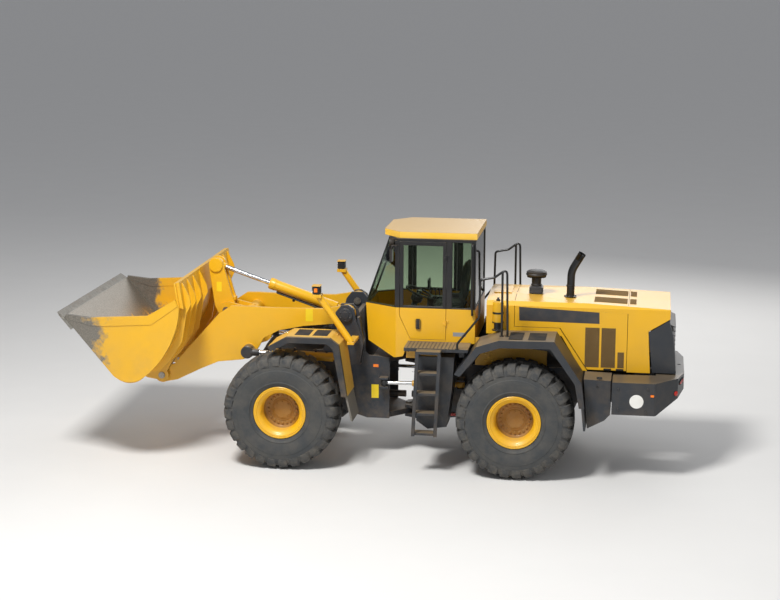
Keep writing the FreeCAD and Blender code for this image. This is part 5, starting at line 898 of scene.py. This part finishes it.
for hand, sign in LEFT_RIGHT:
    band, mesh, shade_sheet, latches = (bmesh.new() for _ in range(4))
    plate(band, [at(x, 0, z) + Vector((0, SKIN * sign, 0)) for x, z in (
        (7, 2426), (-1165, 2380), (-1170, 2211), (2, 2221))], 0.0, 0.0012, (0, sign, 0))
    piece("hood_band_" + hand, band, HOOD_BAND, "hood_door_" + hand, "black_paint")
    for left, right, low_z, high_z in DOOR_VENTS:
        corner = at(left, 0, low_z) + Vector((0, SKIN * sign, 0))
        # A dark sheet fills the vent opening: painted shade behind the mesh.
        plate(shade_sheet, [corner, corner + Vector(((right - left) / 1000, 0, 0)),
                     corner + Vector(((right - left) / 1000, 0, (high_z - low_z) / 1000)),
                     corner + Vector((0, 0, (high_z - low_z) / 1000))], 0.0, 0.0006, (0, sign, 0))
        corner += Vector((0, 0.001 * sign, 0))
        mesh_panel(mesh, corner, (1, 0, 0), (0, 0, 1), (right - left) / 1000, (high_z - low_z) / 1000)
    piece("door_vent_mesh_" + hand, mesh, VENT_MESH, "hood_door_" + hand, "yellow_paint")
    piece("door_vent_shade_sheet_" + hand, shade_sheet, VENT_SHADE_SHEET, "hood_door_" + hand, "yellow_paint")
    for x, z in ((-1300, 1532), (-1480, 1532)):
        seat = at(x, 0, z) + Vector((0, SKIN * sign, 0))
        block(latches, Matrix.Translation(seat + Vector((0, 0.004 * sign, 0))), (0.11, 0.008, 0.032), 0.003)
        block(latches, Matrix.Translation(seat + Vector((0.01, 0.011 * sign, 0))), (0.06, 0.010, 0.018), 0.004)
    piece("door_latches_" + hand, latches, CAB_BLACK, "hood_door_" + hand, "black_paint")

top_mesh, top_panels, seams = (bmesh.new() for _ in range(3))
for start, end, inner, outer in ((-1560, -1080, 120, 470), (-1690, -1600, 120, 470)):
    for side_sign in (1, -1):
        corners = [hood_top(x, y * side_sign) for x, y in (
            (start, inner), (end, inner), (end, outer), (start, outer))]
        # A dark sheet fills each top vent: painted shade behind the mesh.
        plate(top_panels, corners, 0.0, 0.002, (0, 0, 1))
        lean_up = (corners[3] - corners[0])
        run = (corners[1] - corners[0])
        base_corner = corners[0] if side_sign > 0 else corners[3]
        lean_up = lean_up if side_sign > 0 else -lean_up
        mesh_panel(top_mesh, base_corner + Vector((0, 0, 0.004)), run.normalized(), lean_up.normalized(),
                   run.length, lean_up.length)
piece("hood_top_vent_mesh", top_mesh, VENT_MESH, "chassis", "yellow_paint")
piece("hood_top_vent_shade_sheet", top_panels, VENT_SHADE_SHEET, "chassis", "yellow_paint")
SEAM_STEPS = (2, 160, 320, 480, 560, 600, 630)
for x in (76, -1582):
    for side_sign in (1, -1):
        for near, far in zip(SEAM_STEPS, SEAM_STEPS[1:]):
            plate(seams, [hood_top(a, y * side_sign, 0.3) for a, y in (
                (x - 3, near), (x + 3, near), (x + 3, far), (x - 3, far))], 0.0, 0.0012, (0, 0, 1))
piece("hood_seams", seams, TRIM_RUBBER, "chassis", "rubber")
hatch = bmesh.new()
plate(hatch, [hood_top(x, y, 0.5) for x, y in ((150, -250), (420, -250), (420, 250), (150, 250))],
      0.0, 0.012, (0, 0, 1))
bmesh.ops.bevel(hatch, geom=list(hatch.edges), offset=0.004, segments=2, affect="EDGES", clamp_overlap=True)
piece("hood_hatch", hatch, YELLOW, "chassis", "yellow_paint")
print("hood dressed")

# %% [markdown]
# ## Counterweight, tanks and rear end
# A blank white disc, an amber reflector and red lamps sit on the casting. The cover plates
# have their own bolts, and the box on the left closes with a latch.

# %% Rear end fittings
discs, ambers, reds, rear_bolts, rear_latches = (bmesh.new() for _ in range(5))
WEIGHT_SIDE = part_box("counterweight")[1].y * 1000
lathe(discs, [(0.100, 0.0), (0.100, 0.0012)], facing(at(-1742, WEIGHT_SIDE + 0.3, 1215), (0, 1, 0)), 64)
span(ambers, at(-1990, WEIGHT_SIDE + 0.3, 1288), at(-1940, WEIGHT_SIDE + 8, 1322), 0.003)
lathe(reds, [(0.036, 0.0), (0.036, 0.012), (0.028, 0.018), (0.004, 0.020)],
      facing(at(-2300, 933, 1270), (-0.763, 0.646, 0)), 32)
for x, z in ((-1480, 1390), (-1480, 1090), (-1880, 1060), (-1900, 1400)):
    bolts(rear_bolts, [at(x, WEIGHT_SIDE, z)], (0, 1, 0), 0.030)
tank_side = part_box("side_tanks")[1].y * 1000
span(rear_latches, at(-1246, tank_side + 0.3, 1508), at(-1166, tank_side + 12, 1548), 0.004)
lathe(rear_latches, [(0.016, 0.0), (0.016, 0.016), (0.010, 0.020)],
      facing(at(-1180, tank_side + 0.3, 1400), (0, 1, 0)), 20)
for form in (discs, ambers, reds, rear_bolts, rear_latches):
    mirror_form(form)
piece("blank_discs", discs, PLAIN_WHITE, "chassis", "plastic")
piece("rear_side_reflectors", ambers, AMBER, "chassis", "plastic")
piece("rear_corner_lamps", reds, RED_LENS, "chassis", "plastic")
piece("counterweight_bolts", rear_bolts, IRON_GREY, "chassis", "grey_paint")
piece("tank_latches", rear_latches, CAB_BLACK, "chassis", "black_paint")
print("rear end dressed")

# %% [markdown]
# ## Decks, fenders and steps
# Feet need grip: rows of raised buttons on the decks, grit tape on the fenders, and saw teeth
# on each rung. Below the left deck hangs a guard strip whose punched holes are black discs: painted shade.

# %% Buttons, tape and teeth
GRIT = ((2760, 2980), (3030, 3250))
tapes, front_tapes, buttons, teeth, guard = (bmesh.new() for _ in range(5))
for start, end in GRIT:
    span(front_tapes, at(start, 900, 2015.3), at(end, 1300, 2016.6), 0.0004)
FENDER_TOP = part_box("rear_fenders")[1].z * 1000
for start, end in ((-100, 100), (-430, -180)):
    span(tapes, at(start, 950, FENDER_TOP + 0.3), at(end, 1420, FENDER_TOP + 1.5), 0.0004)
deck_low, deck_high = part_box("side_decks")
DECK_TOP = 1871
for column in range(13):
    for row in range(11):
        x, y = 930 + 55 * column, 800 + 50 * row + (25 if column % 2 else 0)
        if y < 1300:
            lathe(buttons, [(0.011, 0.0), (0.009, 0.004), (0.006, 0.0045)],
                  facing(at(x, y, DECK_TOP - 0.2), (0, 0, 1)), 10)
for z in (600, 900, 1200, 1500):
    for k in range(12):
        x = 1240 + 24 * k
        plate(teeth, [at(x - 7, 1246, z + 16), at(x + 7, 1246, z + 16), at(x, 1246, z + 26)], 0.0, 0.004, (0, 1, 0))
for form in (tapes, front_tapes, buttons, teeth):
    mirror_form(form)
piece("front_fender_grip", front_tapes, GRIT_TAPE, "front_section", "rubber")
piece("rear_fender_grip", tapes, GRIT_TAPE, "chassis", "rubber")
piece("deck_buttons", buttons, FRAME_GREY, "chassis", "grey_paint")
piece("rung_teeth", teeth, FRAME_GREY, "chassis", "grey_paint")
span(guard, at(1120, 1098, 1690), at(1620, 1102, 1815), 0.001)
for row in range(3):
    for column in range(16):
        lathe(guard, [(0.011, 0.0), (0.011, 0.0006)],
              facing(at(1150 + 29.4 * column, 1102, 1715 + 37 * row), (0, 1, 0)), 12)
guard.faces.ensure_lookup_table()
hole_faces = [face.index for face in guard.faces if len(face.verts) == 12]
# The guard strip takes the darker yellow: painted shade under the deck, with dust.
guard_item = piece("deck_guard_strip", guard, YELLOW_SHADED_DUSTY, "chassis", "yellow_paint")
# The punched holes are flat black discs: painted shade seen through the holes.
guard_item.data.materials.append(CAB_BLACK)
for index in hole_faces:
    guard_item.data.polygons[index].material_index = 1

panel_bolts = bmesh.new()
inner_panel = bmesh.new()
span(inner_panel, at(-420, 762, 1540), at(640, 766, 1960), 0.002)
bolts(panel_bolts, [at(440 + dx, 766, 1670 + dz) for dx, dz in (
    (0, 0), (-45, 50), (45, 50), (-45, -50), (45, -50))], (0, 1, 0), 0.026)
mirror_form(panel_bolts)
mirror_form(inner_panel)
# The wheel-arch panels take the darker yellow: painted shade inside the arch, with dust.
piece("wheel_arch_panels", inner_panel, YELLOW_SHADED_DUSTY, "chassis", "yellow_paint")
piece("wheel_arch_bolts", panel_bolts, PALE_YELLOW, "chassis", "yellow_paint")
print("decks dressed")

# %% [markdown]
# ## Operator's place
# The seat is foam under woven cloth. Each pad starts as a rounded form, is remeshed, swells
# under a little pressure as stuffing does, and then gets a piped seam. The wheel, its column,
# the console and the levers are moulded.

# %% Seat cloth
def woven(name, colour, thread=3.0):
    """Woven upholstery: two crossed sets of threads, a little dust in patches."""
    material, tree, shader, place = start_finish(name)
    threads = []
    for direction in ("X", "Y"):
        threads.append(put(tree, "TexWave", [("Vector", place), ("Scale", per(thread) / math.tau)],
                           bands_direction=direction).outputs["Fac"])
    weave = multiply(tree, *threads)
    wear = spread(tree, grain(tree, place, 160, 4), 0.45, 0.75, 0.0, 0.4)
    tree.links.new(blend_colours(tree, wear, linear(colour), linear("#6B655B")), shader.inputs["Base Color"])
    tree.links.new(put(tree, "Bump", [("Height", weave), ("Strength", 0.4), ("Distance", 0.001)]).outputs["Normal"],
                   shader.inputs["Normal"])
    shader.inputs["Roughness"].default_value = 0.92
    return material


SEAT_CLOTH = woven("woven_seat_cloth", "#34383D")
PIPING = woven("seat_piping_cloth", "#17181A", 2.0)


def pad(name, low_corner, high_corner, lean, cap):
    """A stuffed pad between two corners, leaned about its lower edge, swollen and smoothed."""
    form = bmesh.new()
    span(form, low_corner, high_corner, 0.030)
    for vert in form.verts:
        vert.co.x -= (vert.co.z - low_corner.z) * lean
    item = piece(name, form, SEAT_CLOTH, "chassis", "cushion", sharp=60)
    remesh = item.modifiers.new("even_skin", "REMESH")
    remesh.mode, remesh.voxel_size = "VOXEL", 0.010
    bake(item)
    before = [vert.co.copy() for vert in item.data.vertices]
    cloth = item.modifiers.new("stuffing", "CLOTH")
    cloth.settings.use_pressure = True
    cloth.settings.uniform_pressure_force = 4.0
    cloth.settings.effector_weights.gravity = 0.0
    for frame_number in range(1, 21):
        bpy.context.scene.frame_set(frame_number)
    bake(item)
    bpy.context.scene.frame_set(1)
    for vert, old in zip(item.data.vertices, before):
        moved = vert.co - old
        if moved.length > cap:
            vert.co = old + moved.normalized() * cap
    item.modifiers.new("smooth_skin", "SUBSURF").levels = 1
    bake(item)
    item.data.shade_smooth()
    print(name, "faces", len(item.data.polygons))
    return item


def bake(item):
    """Writes what the modifiers show into the mesh."""
    shown = item.evaluated_get(bpy.context.evaluated_depsgraph_get())
    mesh = bpy.data.meshes.new_from_object(shown)
    item.modifiers.clear()
    item.data = mesh


SEAT_LOW, SEAT_HIGH = at(862, -238, 2238), at(1338, 238, 2342)
seat_pad = pad("seat_cushion", SEAT_LOW, SEAT_HIGH, 0.0, 0.012)
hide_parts("seat_pads")
back_pad = pad("seat_back", at(862, -228, 2362), at(958, 228, 2968), 0.13, 0.012)
piping = bmesh.new()
ring = rounded([at(x, y, 2346) for x, y in ((1100, 236), (1334, 236), (1334, -236), (866, -236), (866, 236),
                                            (1100, 236))], 0.04, 5)
sweep(piping, ring, 0.005, 8)
for y in (-120, 120):
    sweep(piping, [at(880, y, 2352), at(1100, y, 2354), at(1322, y, 2352)], 0.003, 6)
piece("seat_piping", piping, PIPING, "chassis", "cushion")

# %% Wheel, column, console and levers
fittings = bmesh.new()
span(fittings, at(890, -170, 1890.5), at(1270, 170, 2120), 0.03)
for k in range(5):
    span(fittings, at(900 - 8 * (k % 2), -160 - 8 * (k % 2), 2118 + 21 * k),
         at(1260 + 8 * (k % 2), 160 + 8 * (k % 2), 2141 + 21 * k), 0.009)
span(fittings, at(930, -500, 1890.5), at(1500, -300, 2330), 0.035)
span(fittings, at(900, -480, 2326), at(1260, -330, 2372), 0.020)
for x in (1310, 1370, 1430):
    sweep(fittings, [at(x, -400, 2320), at(x + 12, -400, 2420)], 0.007, 10)
    lathe(fittings, [(0.010, 0.0), (0.020, 0.012), (0.022, 0.034), (0.014, 0.050), (0.003, 0.054)],
          facing(at(x + 12, -400, 2410), (0.1, 0, 1)), 20)
span(fittings, at(1470, -560, 2420), at(1500, -360, 2590), 0.012)
sweep(fittings, [at(1460, -470, 2320), at(1485, -470, 2440)], 0.010, 10)
COLUMN_LEAN = math.radians(112)
COLUMN_WAY = Vector((math.cos(COLUMN_LEAN), 0, math.sin(COLUMN_LEAN)))
column_foot = at(1900, 0, 1665)
column_base = facing(column_foot, COLUMN_WAY)
lathe(fittings, [(0.062, 0.250), (0.056, 0.300), (0.046, 0.420), (0.046, 0.690), (0.088, 0.720), (0.090, 0.790),
                 (0.060, 0.815), (0.038, 0.822), (0.038, 0.850), (0.046, 0.868), (0.040, 0.884),
                 (0.010, 0.888)], column_base, 32)
wheel_middle = column_foot + COLUMN_WAY * 0.860
wheel_turn = facing(wheel_middle, COLUMN_WAY)
circle = [wheel_turn @ Vector((0.205 * math.cos(math.tau * k / 48), 0.205 * math.sin(math.tau * k / 48), 0))
          for k in range(49)]
sweep(fittings, circle, 0.016, 12)
for turn in (0.0, math.pi, -math.pi / 2):
    sweep(fittings, [wheel_turn @ Vector((0.03 * math.cos(turn), 0.03 * math.sin(turn), 0)),
                     wheel_turn @ Vector((0.205 * math.cos(turn), 0.205 * math.sin(turn), 0))], 0.013, 10)
for y in (-130, 90):
    span(fittings, at(1560, y, 1892), at(1600, y + 70, 1990), 0.006)
piece("cab_fitting_set", fittings, ABS_BLACK, "chassis", "plastic", "cab_fittings")
print("cab fitted")

# %% [markdown]
# ## Glazing rubber, wiper, handles and cab lamps
# The rubber follows the real outline of each pane: the pane's flat faces are joined back to
# one polygon, and a bead runs round it. The wiper stands on the windscreen's own plane.

# %% Glazing rubber
def pane_outlines(node, smallest):
    """Outer loops of the big flat faces of a node, as lists of points with the face normal."""
    form = bmesh.new()
    form.from_mesh(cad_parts[node].data)
    form.transform(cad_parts[node].matrix_world)
    bmesh.ops.dissolve_limit(form, angle_limit=math.radians(2), verts=form.verts[:], edges=form.edges[:])
    found = [([vert.co.copy() for vert in face.verts], face.normal.copy(), face.calc_area())
             for face in form.faces if face.calc_area() > smallest]
    form.free()
    return found


screen = None
for node, body in (("cab_glass", "chassis"), ("door_glass_left", "cab_door_left"),
                   ("door_glass_right", "cab_door_right")):
    beads = bmesh.new()
    for loop, normal, area in pane_outlines(node, 0.05):
        if node == "cab_glass" and normal.x > 0.5 and (screen is None or area > screen[2]):
            screen = (loop, normal, area)
        count = len(loop)
        for k in range(count):
            start, end = loop[k], loop[(k + 1) % count]
            if (end - start).length > 0.03:
                sweep(beads, [start, end], 0.007, 6)
    piece("glazing_rubber_" + node, beads, TRIM_RUBBER, body, "rubber")

# %% Wiper, handles, lamp
screen_normal = screen[1]
screen_middle = sum(screen[0], Vector()) / len(screen[0])
screen_up = (Vector((0, 0, 1)) - screen_normal * screen_normal.z).normalized()
screen_side = screen_normal.cross(screen_up)
screen_foot = screen_middle - screen_up * 0.42
wiper = bmesh.new()
lathe(wiper, [(0.022, 0.0), (0.022, 0.018), (0.012, 0.024)], facing(screen_foot, screen_normal), 20)
blade_middle = screen_middle + screen_up * 0.05 + screen_side * 0.12
sweep(wiper, [screen_foot + screen_normal * 0.018, blade_middle + screen_normal * 0.020], 0.006, 8)
sweep(wiper, [blade_middle - screen_up * 0.36 + screen_normal * 0.010,
              blade_middle + screen_up * 0.36 + screen_normal * 0.010], 0.006, 8)
piece("windscreen_wiper", wiper, CAB_BLACK, "chassis", "black_paint")
for hand, sign in LEFT_RIGHT:
    handle = bmesh.new()
    span(handle, at(1454, 742 * sign, 2052), at(1536, 774 * sign, 2204), 0.015)
    lathe(handle, [(0.012, 0.0), (0.012, 0.006)], facing(at(1495, 774 * sign, 2075), (0, sign, 0)), 16)
    piece("door_handle_" + hand, handle, ABS_BLACK, "cab_door_" + hand, "plastic")

work_shells, work_lenses, covers = (bmesh.new() for _ in range(3))
for side_place in (690, 480):
    eye_place = facing(at(1920, side_place, 3330), (1, 0, -0.15))
    lathe(work_shells, [(0.020, -0.070), (0.044, -0.052), (0.058, -0.010), (0.060, 0.0), (0.055, 0.004)], eye_place, 28)
    lathe(work_lenses, [(0.054, 0.002), (0.052, 0.010), (0.030, 0.014), (0.006, 0.015)], eye_place, 28)
mirror_form(work_shells)
mirror_form(work_lenses)
piece("work_lamp_shells", work_shells, ABS_BLACK, "chassis", "plastic")
piece("work_lamp_lenses", work_lenses, LAMP_GLASS, "chassis", "glass")

# %% [markdown]
# ## Tower, patches and the tank on the deck
# Dark covers close the boom pivots. The tower has an amber reflector and a plain yellow patch,
# and a small pressure tank stands behind the cab with its valve and strap.

# %% Pivot covers, reflector, patch, tank
cover_profile = [(0.105, 0.0), (0.105, 0.010), (0.098, 0.014), (0.060, 0.015), (0.055, 0.022), (0.020, 0.023)]
lathe(covers, cover_profile, facing(at(2603, 668.3, 2200), (0, 1, 0)), 48)
bolts(covers, [at(2603 + 80 * math.cos(a), 682.3, 2200 + 80 * math.sin(a)) for a in
               [math.tau * (k + 0.5) / 6 for k in range(6)]], (0, 1, 0), 0.018)
mirror_form(covers)
piece("boom_pivot_covers", covers, FRAME_GREY, "front_section", "grey_paint")
tank, tank_head = bmesh.new(), bmesh.new()
TANK_PLACE = at(306, 800, 2086)
lathe(tank, [(0.050, 0.110), (0.076, 0.125), (0.082, 0.150), (0.082, 0.400), (0.074, 0.425), (0.040, 0.440)],
      facing(TANK_PLACE, (0, 0, 1)), 36)
lathe(tank_head, [(0.090, 0.0), (0.090, 0.012), (0.060, 0.018), (0.060, 0.108), (0.086, 0.112), (0.086, 0.128)],
      facing(TANK_PLACE, (0, 0, 1)), 36)
lathe(tank_head, [(0.0835, 0.250), (0.0835, 0.280), (0.080, 0.280)], facing(TANK_PLACE, (0, 0, 1)), 36)
lathe(tank_head, [(0.030, 0.436), (0.030, 0.462), (0.016, 0.470), (0.016, 0.490), (0.004, 0.492)],
      facing(TANK_PLACE, (0, 0, 1)), 24)
piece("deck_tank", tank, YELLOW, "chassis", "yellow_paint")
piece("deck_tank_head", tank_head, CAB_BLACK, "chassis", "black_paint")

# %% [markdown]
# ## Plain patches, reflectors and pipes
# Some places are only known from the picture's side, so a ray is sent to the painted skin and
# the piece is laid where it lands. Patches are blank film. The barrels get their steel oil
# pipes, clamped every half metre, and the casting its red lamps.

# %% Patches on the skin
def film(form, trees, corners):
    """Thin film over four places of the skin, on both sides of the machine."""
    spots = [outer_skin(trees, x, z) for x, z in corners]
    if None in spots:
        print("no skin under", corners)
        return
    outline = [Vector((at(x, 0, z).x, spot, at(x, 0, z).z)) for (x, z), spot in zip(corners, spots)]
    plate(form, outline, 0.0004, 0.001, (0, 1, 0))


def oblong(x, z, width, height):
    return [(x - width / 2, z - height / 2), (x + width / 2, z - height / 2),
            (x + width / 2, z + height / 2), (x - width / 2, z + height / 2)]


PATCH_YELLOW = moulded("blank_yellow_film", "#F2D21E", 0.35, 10.0, 0.05)
PATCH_GREY = moulded("blank_grey_film", "#8C8F92", 0.35, 10.0, 0.05)
tower, arms, weight, cab_skin = (skins("front_frame"), skins("boom"), skins("counterweight"), skins("cab_frame"))
tower_films, arm_films, cab_films, tower_ambers = (bmesh.new() for _ in range(4))
film(tower_films, tower, oblong(2178, 1005, 110, 210))
film(tower_films, tower, oblong(2345, 1612, 30, 150))
film(arm_films, arms, oblong(3165, 2165, 110, 190))
film(cab_films, cab_skin, oblong(880, 1985, 190, 60))
tower_out = outer_skin(tower, 2165, 1400)
if tower_out:
    span(tower_ambers, Vector((at(2125, 0, 0).x, tower_out + 0.0004, 1.380)),
         Vector((at(2205, 0, 0).x, tower_out + 0.009, 1.425)), 0.003)
for form in (tower_films, arm_films, cab_films, tower_ambers):
    mirror_form(form)
for name, form, finish_material, body in (
        ("tower_patches", tower_films, PATCH_YELLOW, "front_section"), ("boom_patches", arm_films, PATCH_YELLOW, "boom_arms"),
        ("cab_patches", cab_films, PATCH_GREY, "chassis"), ("tower_reflectors", tower_ambers, AMBER, "front_section")):
    if form.faces:
        piece(name, form, finish_material, body, "plastic")

# %% Rear lamps on the casting
rear_lamps, rear_reds = bmesh.new(), bmesh.new()
for across, high, size in ((640, 1400, 0.034), (730, 1400, 0.034), (805, 1400, 0.022)):
    for tree in weight:
        hit = tree.ray_cast(at(-4000, across, high), Vector((1, 0, 0)))
        if hit[0] is not None:
            seat = facing(hit[0], hit[1])
            lathe(rear_lamps, [(size * 1.35, 0.0005), (size * 1.35, 0.010), (size * 1.15, 0.014)], seat, 28)
            lathe(rear_reds, [(size, 0.008), (size, 0.014), (size * 0.8, 0.0165), (0.004, 0.0175)], seat, 28)
mirror_form(rear_lamps)
mirror_form(rear_reds)
piece("rear_lamp_rings", rear_lamps, ABS_BLACK, "chassis", "plastic")
piece("rear_lamp_lenses", rear_reds, RED_LENS, "chassis", "plastic")

# %% Oil pipes
tilt_way, lift_way = leaning(TILT_LEAN), leaning(LIFT_LEAN)
tilt_pipes, lift_pipes = bmesh.new(), bmesh.new()
tilt_down = tilt_way.cross(Vector((0, 1, 0)))
tilt_down = tilt_down if tilt_down.z < 0 else -tilt_down
for across, start_at in ((0.034, 0.24), (-0.034, 0.34)):
    offset = Vector((0, across, 0)) + tilt_down * 0.104
    inner = Vector((0, across, 0)) + tilt_down * 0.078
    sweep(tilt_pipes, rounded([TILT_FOOT + tilt_way * 1.08 + inner, TILT_FOOT + tilt_way * 1.08 + offset,
                               TILT_FOOT + tilt_way * start_at + offset,
                               TILT_FOOT + tilt_way * (start_at - 0.05) + inner], 0.03, 4), 0.011, 10)
for reach in (0.45, 0.80):
    block(tilt_pipes, facing(TILT_FOOT + tilt_way * reach + tilt_down * 0.094, tilt_way),
          (0.050, 0.110, 0.036), 0.004)
for across in (716, -716):
    foot = at(2640, across, 1560)
    for side_offset in (0.020, -0.020):
        over = Vector((0, side_offset, 0.084))
        under = Vector((0, side_offset, 0.064))
        sweep(lift_pipes, rounded([foot + lift_way * 0.93 + under, foot + lift_way * 0.93 + over,
                                   foot + lift_way * 0.26 + over, foot + lift_way * 0.22 + under], 0.02, 3), 0.008, 8)
    for reach in (0.40, 0.72):
        block(lift_pipes, facing(foot + lift_way * reach + Vector((0, 0, 0.076)), lift_way),
              (0.036, 0.066, 0.030), 0.003)
piece("tilt_cylinder_pipes", tilt_pipes, FRAME_GREY, "tilt_cylinder", "bare_steel")
piece("lift_cylinder_pipes", lift_pipes, FRAME_GREY, "lift_cylinders", "bare_steel")

# %% [markdown]
# ## Spill guard gussets
# The guard along the bucket's rim takes the weight of what rolls back over it, so each rib of
# the back plate runs on up behind the guard as a web that tapers to nothing at its top edge.

# %% Guard gussets and lever patch
CURL = math.radians(50)
RIB_PLACES, RIB_THICK = (0.380, 0.760, 1.080, 1.380), 0.025
GUSSET = ((470, 1190), (536, 1338), (640, 1398), (858, 1450), (866, 1438), (566, 1252), (546, 1236))
pin_low, pin_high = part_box("bucket_pins")
web = [Vector(((pin_low[0] + pin_high[0]) / 2 + (u * math.cos(CURL) - v * math.sin(CURL)) / 1000, 0,
               (pin_low[2] + pin_high[2]) / 2 + (u * math.sin(CURL) + v * math.cos(CURL)) / 1000))
       for u, v in GUSSET]
gussets, lever_films = bmesh.new(), bmesh.new()
for across in RIB_PLACES:
    plate(gussets, web, across, RIB_THICK, (0, 1, 0))
film(lever_films, skins("bellcrank"), oblong(4664, 2463, 80, 150))
mirror_form(gussets)
piece("guard_gussets", gussets, YELLOW, "bucket_body", "yellow_paint")
if lever_films.faces:
    mirror_form(lever_films)
    piece("lever_patches", lever_films, PATCH_YELLOW, "crank", "plastic")
print("gussets behind the guard", 2 * len(RIB_PLACES))
